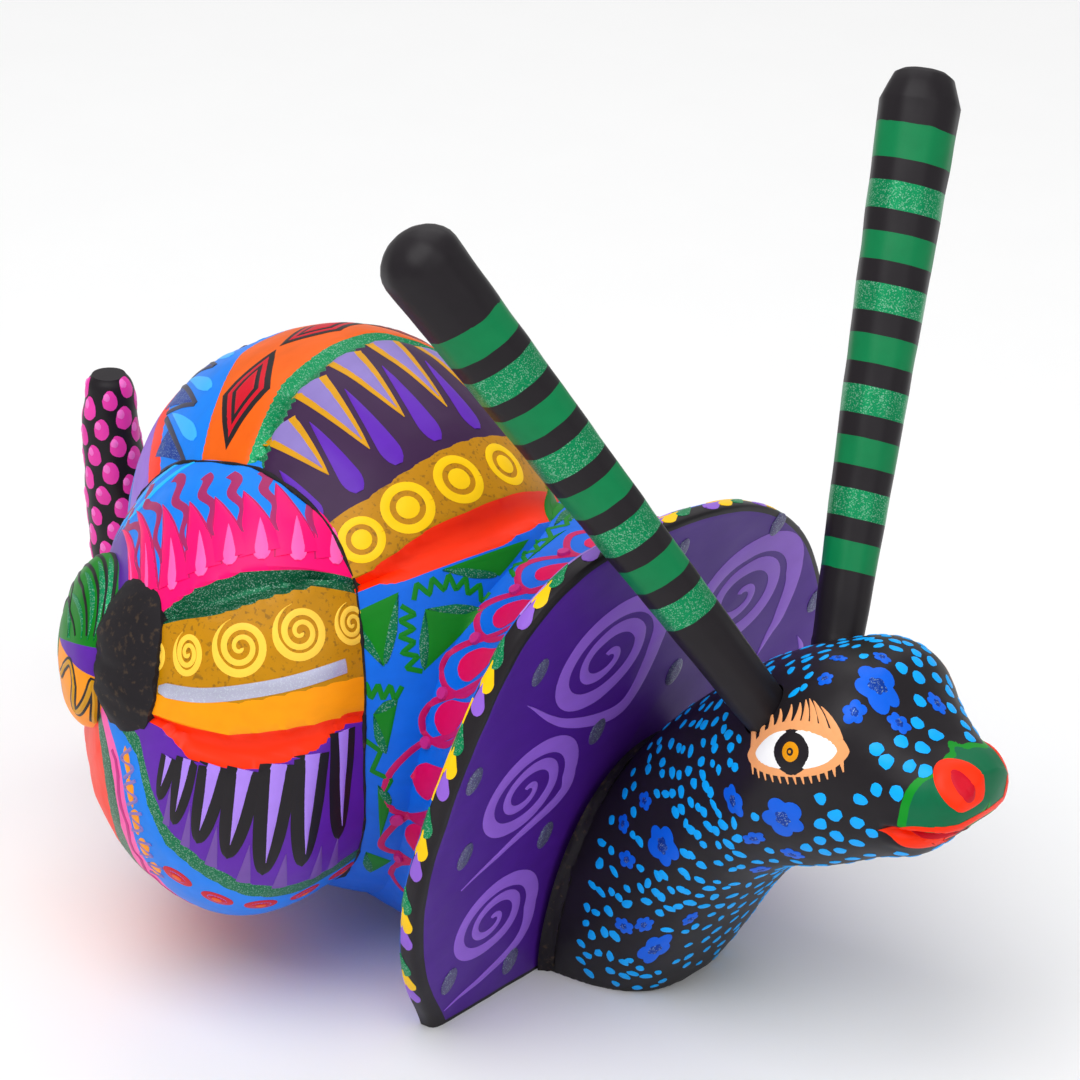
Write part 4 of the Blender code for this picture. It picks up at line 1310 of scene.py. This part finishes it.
def muzzle_field(places, heights):
    """The band numbers of the head: black, then a light edge, then green above the mouth."""
    turn = np.linspace(-180, 180, heights.shape[1] + 1)
    past = places[:, None] - muzzle_border(turn)[None, :]
    field = 0.5 + np.clip(past / 0.06 + 0.5, 0, 1) + np.clip((past - 0.24) / 0.06 + 0.5, 0, 1)
    jaw = np.clip((MOUTH_HEIGHT + 1.5 - heights) / 0.35 + 0.5, 0, 1)
    jaw = np.concatenate([jaw, jaw[:, :1]], axis=1)
    return field * (1 - jaw) + 0.5 * jaw


def build_head(rows=180, columns=200):
    """The neck and head, with its mouth cut in and its nostrils pressed in."""
    places = np.concatenate([np.linspace(0, 8.7, rows), np.linspace(8.72, 9, 6)])
    rings = np.array([neck_ring(place, columns) for place in places])
    outward = unit(rings - rings.mean(axis=1, keepdims=True))
    rings = rings + outward * (0.22 * lumps(rings, 9.0, 30.0) + 0.05 * lumps(rings, 2.2, 30.0))[..., None]
    field = muzzle_field(places, rings[..., 2])
    x, z = rings[..., 0], rings[..., 2]
    forward = np.clip((x - MOUTH_CORNER) / 3.0, 0, 1)
    below = np.clip((MOUTH_HEIGHT - 0.6 - z) / 1.2, 0, 1)
    slit = np.exp(-((z - MOUTH_HEIGHT) / 0.85) ** 2)
    rings = rings - outward * (SLIT_DEPTH * slit * forward)[..., None]
    rings[..., 0] -= below * np.clip(x - MOUTH_CORNER - 3.0, 0, 20) * JAW_SHORTENING
    lip = np.exp(-((z - MOUTH_HEIGHT - 1.9) / 1.1) ** 2) + np.exp(-((z - MOUTH_HEIGHT + 2.1) / 1.1) ** 2)
    rings = rings + outward * (LIP_RISE * lip * forward)[..., None]
    for side in (-1, 1):
        away = np.linalg.norm(rings - NOSTRILS[side], axis=-1)
        press = DENT_EDGE * np.exp(-((away - 3.9) / 1.2) ** 2) - DENT_DEPTH * np.exp(-(away / 2.0) ** 2)
        rings = rings + outward * press[..., None]
    rings[..., 2] = np.maximum(rings[..., 2], 0.0)
    tip = rings[-1].mean(axis=0) + MUZZLE_TIP
    rings[-1] = rings[-1] + (tip - rings[-1]) * 0.12
    return loft(rings, rings[0].mean(axis=0), tip, field)


def socket_tool(base, tip, reach=12.0):
    """A tapered cutter, a little wider than an antenna's peg, from the peg's end to above the head."""
    base = np.array(base)
    axis = unit(np.array(tip) - base)
    up, side = axis_frame(axis)
    turn = np.linspace(0, math.tau, 48, endpoint=False)
    circle = up * np.cos(turn)[:, None] + side * np.sin(turn)[:, None]
    mouth, end = circle * (ANTENNA_BASE_RADIUS + SOCKET_PLAY), circle * (PEG_END_RADIUS + SOCKET_PLAY)
    bottom = base - axis * (PEG_DEPTH + SOCKET_PLAY)
    rings = [bottom + end, base + axis * 0.2 + mouth, base + axis * reach + mouth]
    points, faces, _ = loft(rings, bottom, base + axis * reach)
    return points, faces


def drill(piece, tools):
    """Cut closed tools out of a piece's mesh."""
    for points, faces in tools:
        tool = bpy.data.objects.new("drill", packed_mesh("drill", points, faces))
        bpy.context.scene.collection.objects.link(tool)
        cut = piece.modifiers.new("drill", "BOOLEAN")
        cut.operation, cut.solver, cut.object = "DIFFERENCE", "EXACT", tool
        bpy.context.view_layer.update()
        result = piece.evaluated_get(bpy.context.evaluated_depsgraph_get())
        mesh = bpy.data.meshes.new_from_object(result)
        piece.modifiers.remove(cut)
        piece.data = mesh
        bpy.data.objects.remove(tool)


FLOWERS = (                   # place, turn, radius along, radius across
    (5.2, -17.5, 5.2, 3.4), (6.1, -22, 2.0, 1.7), (5.2, -38, 2.1, 2.0), (4.7, -2.5, 1.8, 1.2),
    (3.9, -12.5, 1.8, 0.9), (4.1, -27.5, 1.7, 1.3), (4.6, -100, 4.3, 3.6), (3.5, -87.5, 2.3, 2.8),
    (4.1, -112.5, 2.3, 1.4), (2.1, -85, 3.3, 4.0), (1.4, -62.5, 1.7, 1.6), (1.1, -67.5, 1.6, 1.5),
    (1.4, -82.5, 1.9, 1.7), (1.6, -105, 1.9, 1.7), (2.0, -110, 2.6, 1.2), (2.8, -135, 1.9, 1.2),
    (2.2, -127.5, 4.4, 2.4), (4.0, -145, 2.1, 1.8), (4.7, -127.5, 2.1, 1.6), (6.2, 12, 2.0, 1.7),
    (4.4, 62, 3.8, 3.2), (3.1, 84, 3.0, 3.4), (2.0, 60, 3.2, 3.0), (4.6, 104, 4.0, 3.2), (1.2, 92, 2.0, 1.8),
    (2.4, 118, 3.4, 2.4), (1.2, 38, 2.2, 2.0), (2.8, 26, 2.2, 1.6), (5.4, 84, 2.0, 1.8), (3.6, 132, 2.2, 2.0),
)
EYE_CENTRE = np.array([53.4, -18.6, 59.0])
EYE_CORNERS = np.array([42.5, -16.9, 54.5]), np.array([62.5, -16.2, 60.7])
EYE_LAYERS = (                 # colour, half width, half height, points, steps above the wood, rings inside
    ("black", 3.75, 3.6, 30, 2.4, (0.4, 0.75)), ("amber", 2.35, 2.35, 26, 3.0, (0.5,)),
    ("black", 0.95, 0.95, 18, 3.6, (0.5,)), ("amber", 0.45, 0.45, 12, 4.2, (0.5,)),
)
LASHES = (                     # place along the eye, lean, height
    (-9.2, -3.2, 5.4), (-7.2, -2.6, 4.6), (-5.2, -1.8, 4.4), (-3.4, -1.1, 4.2), (-1.6, -0.4, 4.6),
    (0.2, -0.2, 4.8), (2.0, -1.0, 5.4), (3.9, -2.2, 5.8), (5.9, -3.2, 5.8), (8.4, -3.8, 5.6),
)


def eye(canvas, side):
    """One eye with its lashes; side is -1 on the snail's right and 1 on its left."""
    def mirrored(point):
        return np.array([point[0], point[1] if side < 0 else -point[1] - 2.4, point[2]])

    place, normal = canvas.touch(mirrored(EYE_CENTRE))
    toward = mirrored(EYE_CORNERS[1]) - mirrored(EYE_CORNERS[0])
    ahead = unit(toward - normal * np.dot(toward, normal))
    upward = np.cross(normal, ahead)
    upward = upward * (1 if upward[2] > 0 else -1)

    def at(x, y):
        return place + ahead * x + upward * y

    def almond(long, high, low, count=40):
        angles = np.linspace(0, math.tau, count, endpoint=False)
        height = np.where(np.sin(angles) > 0, high, low)
        return np.column_stack([long * np.sign(np.cos(angles)) * np.abs(np.cos(angles)) ** 0.8,
                                height * np.sin(angles) * np.abs(np.sin(angles)) ** 0.35])

    canvas.blob("peach", at, almond(10.4, 4.9, 3.9), PAINT_LIFT * 1.2, (0.3, 0.6, 0.85))
    canvas.blob("white", at, almond(8.4, 3.5, 2.9), PAINT_LIFT * 1.8, (0.3, 0.6, 0.85))
    for colour, long, short, count, step, inner in EYE_LAYERS:
        canvas.blob(colour, at, ellipse(long, short, count), PAINT_LIFT * step, inner)
    for start, lean, tall in LASHES:
        foot = 4.2 * math.sqrt(max(0.0, 1 - (start / 10.2) ** 2))
        line = [at(start + lean * t + 0.5 * math.sin(t * 3), foot - 0.5 + tall * t)
                for t in np.linspace(0, 1, 14)]
        canvas.stroke("peach", line, 0.62 * (1 - np.linspace(0, 1, 14) ** 1.6) + 0.08, PAINT_LIFT * 1.2)
    for start in np.linspace(-8.6, 8.8, 13):
        foot = -3.4 * math.sqrt(max(0.0, 1 - (start / 10.2) ** 2))
        line = [at(start + 0.3 * t, foot + 0.2 - 1.9 * t) for t in np.linspace(0, 1, 8)]
        canvas.stroke("peach", line, 0.36 * (1 - 0.7 * np.linspace(0, 1, 8)), PAINT_LIFT * 1.1)
    return [at(x, y) for x in np.linspace(-11, 11, 9) for y in (-5.0, -2.0, 1.5, 4.5, 7.5)]


LIPS = ((67.8, 49.5), (70.2, 50.5), (73.0, 51.6), (75.6, 52.0), (78.4, 51.9), (79.0, 50.6), (77.8, 49.6),
        (77.4, 47.6), (76.0, 46.8), (73.8, 46.6), (71.6, 47.3), (69.8, 48.5))
LIPS_MIDDLE = (73.4, 49.2)
MOUTH_OPENING = ((71.4, 49.7), (74.4, 50.6), (77.4, 50.8), (78.6, 50.3), (77.4, 49.2), (74.4, 48.9))
MOUTH_OPENING_MIDDLE = (75.4, 49.9)


def mouth(canvas):
    """The lips round the mouth, and the nostrils."""
    for side in (-1, 1):
        def seen(x, z, side=side):
            """Where a look across the snail meets the muzzle, or a place just behind its tip."""
            hit, *_ = canvas.trees[0].ray_cast(Vector((x, side * 60.0, z)), Vector((0, -side, 0)))
            return np.array(hit) if hit is not None else np.array([x - 1.5, side * 6.0 - 4.0, z])

        for colour, outline, middle, lift in (("red_orange", LIPS, LIPS_MIDDLE, 1.5),
                                              ("crimson", MOUTH_OPENING, MOUTH_OPENING_MIDDLE, 2.1)):
            points = np.vstack([outline, outline[:1]])
            ring = smooth_curve(points, 6 * len(outline) + 1)[:-1] - middle
            canvas.blob(colour, lambda x, z, m=middle: seen(m[0] + x, m[1] + z), ring, PAINT_LIFT * lift,
                        (0.25, 0.5, 0.75, 0.9))
        line = [(x, side * y - 5.0, z) for x, y, z in smooth_curve(
            ((76.0, 8.0, 51.8), (79.0, 5.6, 51.9), (81.0, 3.0, 51.7), (81.6, 0.0, 51.5)), 24)]
        canvas.stroke("red_orange", line, 0.7, PAINT_LIFT * 1.5)
        at = canvas.local(NOSTRILS[side], (0.68, side * -0.05, -0.73))
        canvas.blob("red_orange", at, ellipse(6.0, 3.9, 36), PAINT_LIFT * 1.8, (0.17, 0.34, 0.5, 0.67, 0.84))
        canvas.blob("crimson", at, ellipse(3.8, 1.6, 26), PAINT_LIFT * 2.6, (0.25, 0.5, 0.75))


def ornament_head(canvas):
    """Flowers, rows of light-blue dots, the eyes, the lips and the nostrils."""
    draw = random.Random(SEED + 3)
    kept_off = []
    for place, turn, long, wide in FLOWERS:
        point = head_at(place, turn)
        at = canvas.local(point, head_at(place + 0.1, turn) - point)
        canvas.blob("mid_blue", at, flower(long, draw.choice((5, 6)), draw, wide / long), PAINT_LIFT * 1.2,
                    (0.35, 0.7))
        canvas.blob("deep_blue", at, flower(0.5 * long, 5, draw, wide / long), PAINT_LIFT * 1.8, (0.5,))
        kept_off.append((canvas.touch(point)[0], max(long, wide) + 0.9))
    for side in (-1, 1):
        kept_off += [(canvas.touch(point)[0], 2.3) for point in eye(canvas, side)]
    mouth(canvas)
    for base, _, *_ in ANTENNAE.values():
        kept_off.append((np.array(base), 7.0))
    row = 0.55
    while row < 7.9:
        ahead = np.linalg.norm(head_at(row + 0.05, -90) - head_at(row, -90)) / 0.05
        row += 2.9 / ahead
        girth = [head_at(row, turn) for turn in range(-180, 181, 5)]
        length = np.concatenate([[0], np.cumsum(np.linalg.norm(np.diff(girth, axis=0), axis=1))])
        spot = draw.uniform(0, 3)
        while spot < length[-1]:
            turn = float(np.interp(spot, length, np.arange(-180, 181, 5)))
            spot += 3.9 + draw.uniform(-0.5, 1.0)
            here = row + draw.uniform(-0.06, 0.06)
            border = float(muzzle_border(turn)) - 0.16 if abs(turn) < 120 else 8.0
            point = canvas.touch(head_at(here, turn))[0]
            near = any(np.linalg.norm(point - centre) < off for centre, off in kept_off)
            near = near or (point[0] > 67.4 and 45.6 < point[2] < MOUTH_HEIGHT + 4.0)
            if near or here > border or point[2] < 1.2 or draw.random() < 0.05:
                continue
            on_face = min(1.0, max(0.0, (here - 3.6) / 2.0))
            along = 0.68 + 0.42 * on_face + draw.uniform(-0.14, 0.2)
            across = 1.12 + 0.2 * on_face + draw.uniform(-0.3, 0.3)
            at = canvas.local(point, head_at(here + 0.1, turn + draw.uniform(-8, 8)) - head_at(here, turn))
            canvas.blob("sky", at, ellipse(along, across, 12, 0.1, draw, 0.3), PAINT_LIFT * 1.1, (0.55,))


# ---------------------------------------------------------------- antennae and tail

def antenna_profile(finish):
    """(radius, distance from the base) down an antenna from its tip to the end of its peg."""
    tip = ANTENNA_TIP_RADIUS
    if finish == "round":
        top = [(tip * math.sin(a), ANTENNA_LENGTH - tip * 0.8 * (1 - math.cos(a)))
               for a in np.radians((8, 18, 30, 42, 54, 66, 78, 90))]
    else:
        top = [(0.3 * tip, 91.9), (0.55 * tip, 91.6), (0.75 * tip, 90.8), (0.86 * tip, 89.0), (tip, 86.5)]
    start = top[-1][1]
    stick = [(ANTENNA_BASE_RADIUS + (tip - ANTENNA_BASE_RADIUS) * place / start, place)
             for place in np.linspace(start, 0, 170)[1:]]
    return top + stick + [(PEG_END_RADIUS, -PEG_DEPTH)]


def build_antenna(base, tip, finish, first, count, pitch, columns=48):
    """A whittled stick painted in rings, and its tapered peg."""
    base, tip = np.array(base), np.array(tip)
    axis = unit(tip - base)
    up, side = axis_frame(axis)
    turn = np.linspace(0, math.tau, columns, endpoint=False)
    profile = antenna_profile(finish)
    rings = []
    for radius, place in profile:
        faceted = radius * (1 - 0.022 * (1 - np.cos(9 * turn + place * 0.02)) / 2)
        rings.append(base + axis * place + (up * np.cos(turn)[:, None] + side * np.sin(turn)[:, None])
                     * faceted[:, None])
    rings = np.array(rings)
    middle = rings.mean(axis=1, keepdims=True)
    above = (np.array([place for _, place in profile]) > 1.0)[:, None]
    rings = rings + unit(rings - middle) * (above * (0.14 * lumps(rings, 6.0, 11.0) - 0.05))[..., None]
    edges = [((0, -40.0), (1, -40.0))]
    for index in range(count):
        start = first + pitch * index - RING_WIDTH / 2
        edges += [((0, start), (1, start)), ((0, start + RING_WIDTH), (1, start + RING_WIDTH))]
    edges.append(((0, 120.0), (1, 120.0)))
    places = np.array([place for _, place in profile])
    tilt = 0.5 * np.sin(np.linspace(0, math.tau, columns + 1) + 0.6)
    field = band_field(places[:, None] + tilt[None, :], np.zeros((len(places), columns + 1)), edges)
    return loft(rings, base + axis * ANTENNA_LENGTH, rings[-1].mean(axis=0), field)


def antenna_bands(finish, count):
    """Black, with green rings that alternate flat and glittering."""
    bands = [("black", 0, 0)]
    for index in range(count):
        flat = (index % 2 == 1) if finish == "round" else (index % 2 == 0)
        bands += [("ring_green", 0, 0) if flat else ("glitter_green", 1, 0), ("black", 0, 0)]
    return bands


def build_tail(rows=110, columns=56):
    """The tail, flat under, whittled round, with a blunt end."""
    stations = smooth_curve(TAIL_STATIONS, rows)
    centres = stations[:, :3]
    ahead = unit(np.gradient(centres, axis=0))
    first = unit(np.cross(ahead, (0.0, 1.0, 0.0)))
    second = np.cross(ahead, first)
    turn = np.linspace(0, math.tau, columns, endpoint=False)
    circles = first[:, None] * np.cos(turn)[:, None] + second[:, None] * np.sin(turn)[:, None]
    rings = centres[:, None] + stations[:, 3, None, None] * circles
    middle = rings.mean(axis=1, keepdims=True)
    rings = rings + unit(rings - middle) * (0.35 * lumps(rings, 5.0, 50.0) - 0.15)[..., None]
    rings[..., 2] = np.maximum(rings[..., 2], 0.0)
    return loft(rings, rings[0].mean(axis=0), rings[-1].mean(axis=0))


def ornament_tail(canvas):
    """Rows of pink dots, each with a painted highlight set off its middle."""
    draw = random.Random(SEED + 4)
    row, angle = 0.3, 0.0
    while row < 7.6:
        x, y, z, radius = curve_at(TAIL_STATIONS, row)[0]
        ahead = curve_at(TAIL_STATIONS, row + 0.05)[0][:3] - (x, y, z)
        first = unit(np.cross(ahead, (0.0, 1.0, 0.0)))
        second = np.cross(unit(ahead), first)
        point = np.array([x, y, z]) + radius * (first * math.cos(angle) + second * math.sin(angle))
        place, _ = canvas.touch(point)
        row += 4.35 ** 2 / (math.tau * radius) * 0.05 / np.linalg.norm(ahead)
        angle += math.radians(137.5)
        if place[2] < 1.5:
            continue
        at = canvas.local(place, ahead)
        size = draw.uniform(1.55, 1.95)
        outline = ellipse(size * 1.12, size, 16, 0.06, draw, 0.3)
        canvas.blob("tail_pink", at, outline, PAINT_LIFT * 1.2, (0.55,))
        # the lighter pink dab off each dot's middle is a painted highlight
        highlight_at = canvas.local(place, ahead, (0.35 * size, 0.3 * size))
        canvas.blob("tail_light", highlight_at, ellipse(0.5 * size, 0.42 * size, 12), PAINT_LIFT * 1.8)


# ---------------------------------------------------------------- assembly

def look_at(thing, place, target):
    """Put a camera or a lamp somewhere, facing a target."""
    thing.location = place
    thing.rotation_euler = (Vector(target) - Vector(place)).to_track_quat("-Z", "Y").to_euler()
    bpy.context.scene.collection.objects.link(thing)


def soft_lamp(target, name, azimuth, elevation, distance, size, watts):
    """A square area lamp on the half-sphere round a target."""
    lamp = bpy.data.lights.new(name, "AREA")
    lamp.size, lamp.energy = size, watts
    look_at(bpy.data.objects.new(name, lamp), target + direction(azimuth, elevation) * distance, target)


def direction(azimuth, elevation):
    """Which way a viewer stands, from angles in degrees round the snail and above it."""
    a, e = math.radians(azimuth), math.radians(elevation)
    return np.array([math.sin(a) * math.cos(e), -math.cos(a) * math.cos(e), math.sin(e)])


def studio():
    """A pale floor, soft light, and the camera."""
    nodes = Nodes("studio_floor")
    grain = nodes.noise(40.0, 3.0)
    nodes.put(nodes.shader.inputs["Base Color"],
              nodes.mix(nodes.math("MULTIPLY", grain, 0.5), (0.94, 0.94, 0.94, 1.0), (0.9, 0.9, 0.9, 1.0)))
    nodes.shader.inputs["Roughness"].default_value = 0.7
    data = bpy.data.meshes.new("studio_floor")
    data.from_pydata([(-3, -3, 0), (3, -3, 0), (3, 3, 0), (-3, 3, 0)], [], [(0, 1, 2, 3)])
    data.materials.append(nodes.material)
    floor = bpy.data.objects.new("studio_floor", data)
    bpy.context.scene.collection.objects.link(floor)
    world = bpy.data.worlds.new("studio")
    world.use_nodes = True
    world.node_tree.nodes["Background"].inputs["Color"].default_value = (1.0, 1.0, 1.0, 1.0)
    world.node_tree.nodes["Background"].inputs["Strength"].default_value = WORLD_STRENGTH
    bpy.context.scene.world = world
    target = (AIM + ANCHOR) * MM
    for lamp in LAMPS:
        soft_lamp(target, *lamp)
    lens = bpy.data.cameras.new("camera")
    lens.lens, lens.sensor_width, lens.clip_start = LENS, 36.0, 0.01
    camera = bpy.data.objects.new("camera", lens)
    look_at(camera, target + direction(AZIMUTH, ELEVATION) * DISTANCE * MM, target)
    bpy.context.scene.camera = camera
    bpy.context.scene.view_settings.view_transform = "Standard"


def own_origin():
    """The snail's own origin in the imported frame, found from the end of the left antenna's peg."""
    base, tip = (np.array(point) for point in ANTENNAE["antenna_left"][:2])
    axis = unit(tip - base)
    peg_end = base - axis * PEG_DEPTH
    reach = PEG_END_RADIUS * np.sqrt(1 - axis ** 2)
    lowest, highest = (np.array(corner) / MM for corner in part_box("antenna_left"))
    return np.array([highest[0] - peg_end[0] - reach[0], lowest[1] - peg_end[1] + reach[1], 0.0])


GLITTERING = ("glitter_green", "strap_green", "silver", "gunmetal", "deep_blue")
HIDDEN_PIECES = (              # CAD node, material's name, how it is made
    ("neck_dowel", "bare_wood", whittled_wood), ("second_whorl_dowel", "dowel_wood", whittled_wood),
    ("apex_pin", "nail_steel", nail_steel), ("tail_peg", "peg_wood", whittled_wood),
)


def paint_all(name, slot, shapes, ornaments):
    """Lay ornaments on carved surfaces, one piece for each colour."""
    canvas = Canvas(name, slot, *shapes)
    for ornament in ornaments:
        ornament(canvas)
    canvas.finish(paints)


def whole_shell():
    """The three whorls, their ornaments, and the fillers in the seams."""
    dome, front = build_dome(), build_front()
    carving("shell_dome", dome, banded("dome_paint", DOME_BANDS), "shell_paint", "shell_body_whorl")
    carving("shell_front", front, banded("front_paint", FRONT_BANDS, 0.03), "shell_paint", "shell_body_whorl")
    paint_all("shell", "shell_paint", (dome, front),
              (ornament_dome, ornament_collar, ornament_rim, petal_loops, green_triangles, green_zigzags))
    bun = build_bun()
    carving("second_whorl", bun, banded("bun_paint", BUN_BANDS), "second_whorl_paint", "shell_second_whorl")
    paint_all("bun", "second_whorl_paint", (bun,), (ornament_bun,))
    apex = build_apex()
    carving("apex_whorl", apex, banded("apex_paint", APEX_BANDS), "apex_paint", "shell_apex_whorl")
    paint_all("apex", "apex_paint", (apex,), (ornament_apex,))
    filler = filler_paint("black_filler")
    seam = whorl_seam(Canvas("seam", "black_filler", dome))
    for name, shape, node in (("apex_packing", build_apex_filler(), "apex_filler"),
                              ("whorl_seam", seam, "whorl_seam_filler"),
                              ("neck_fillet", build_neck_filler(), "neck_seam_filler")):
        carving(name, shape, filler, "black_filler", node)


def whole_head():
    """The neck and head, with the antennae's sockets drilled in it."""
    points, faces, bands = build_head()
    head = mesh_piece("head", points, faces, banded("head_paint", HEAD_BANDS, 0.02), "head_paint", bands)
    drill(head, [socket_tool(base, tip) for base, tip, *_ in ANTENNAE.values()])
    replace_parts(head, "head_neck")
    paint_all("head", "head_paint", ((points, faces, bands),), (ornament_head,))


def both_antennae():
    """The two antennae, each on a body of its own."""
    for name, (base, tip, finish, first, count, pitch) in ANTENNAE.items():
        body = "right_antenna" if name.endswith("right") else "left_antenna"
        shape = build_antenna(base, tip, finish, first, count, pitch)
        material = banded(f"{name}_paint", antenna_bands(finish, count), 0.02)
        carving(f"{name}_stick", shape, material, "antenna_paint", name, body)


def whole_tail():
    """The tail and its dots."""
    shape = build_tail()
    carving("painted_tail", shape, paints["black"], "tail_paint", "tail")
    paint_all("tail", "tail_paint", (shape,), (ornament_tail,))


def hidden_pieces():
    """The dowels, nail and peg keep the CAD's shapes and get their own materials."""
    for node, name, make in HIDDEN_PIECES:
        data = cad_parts[node].data
        data.materials.clear()
        data.materials.append(make(name))


def own_origin():
    """The snail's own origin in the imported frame, found from the end of the left antenna's peg."""
    base, tip = (np.array(point) for point in ANTENNAE["antenna_left"][:2])
    axis = unit(tip - base)
    peg_end = base - axis * PEG_DEPTH
    reach = PEG_END_RADIUS * np.sqrt(1 - axis ** 2)
    lowest, highest = (np.array(corner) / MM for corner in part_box("antenna_left"))
    return np.array([highest[0] - peg_end[0] - reach[0], lowest[1] - peg_end[1] + reach[1], 0.0])


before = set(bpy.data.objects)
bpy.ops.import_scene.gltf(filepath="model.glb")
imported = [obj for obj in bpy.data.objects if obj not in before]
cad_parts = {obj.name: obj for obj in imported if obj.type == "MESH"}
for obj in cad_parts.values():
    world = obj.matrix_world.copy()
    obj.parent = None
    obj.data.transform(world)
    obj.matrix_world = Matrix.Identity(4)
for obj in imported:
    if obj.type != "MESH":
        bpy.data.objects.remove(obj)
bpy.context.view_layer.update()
ANCHOR = own_origin()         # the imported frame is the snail's own frame moved along the ground
paints = {colour: paint(f"{colour}_paint", colour, float(colour in GLITTERING)) for colour in COLOURS}

whole_shell()
whole_head()
both_antennae()
whole_tail()
hidden_pieces()
studio()
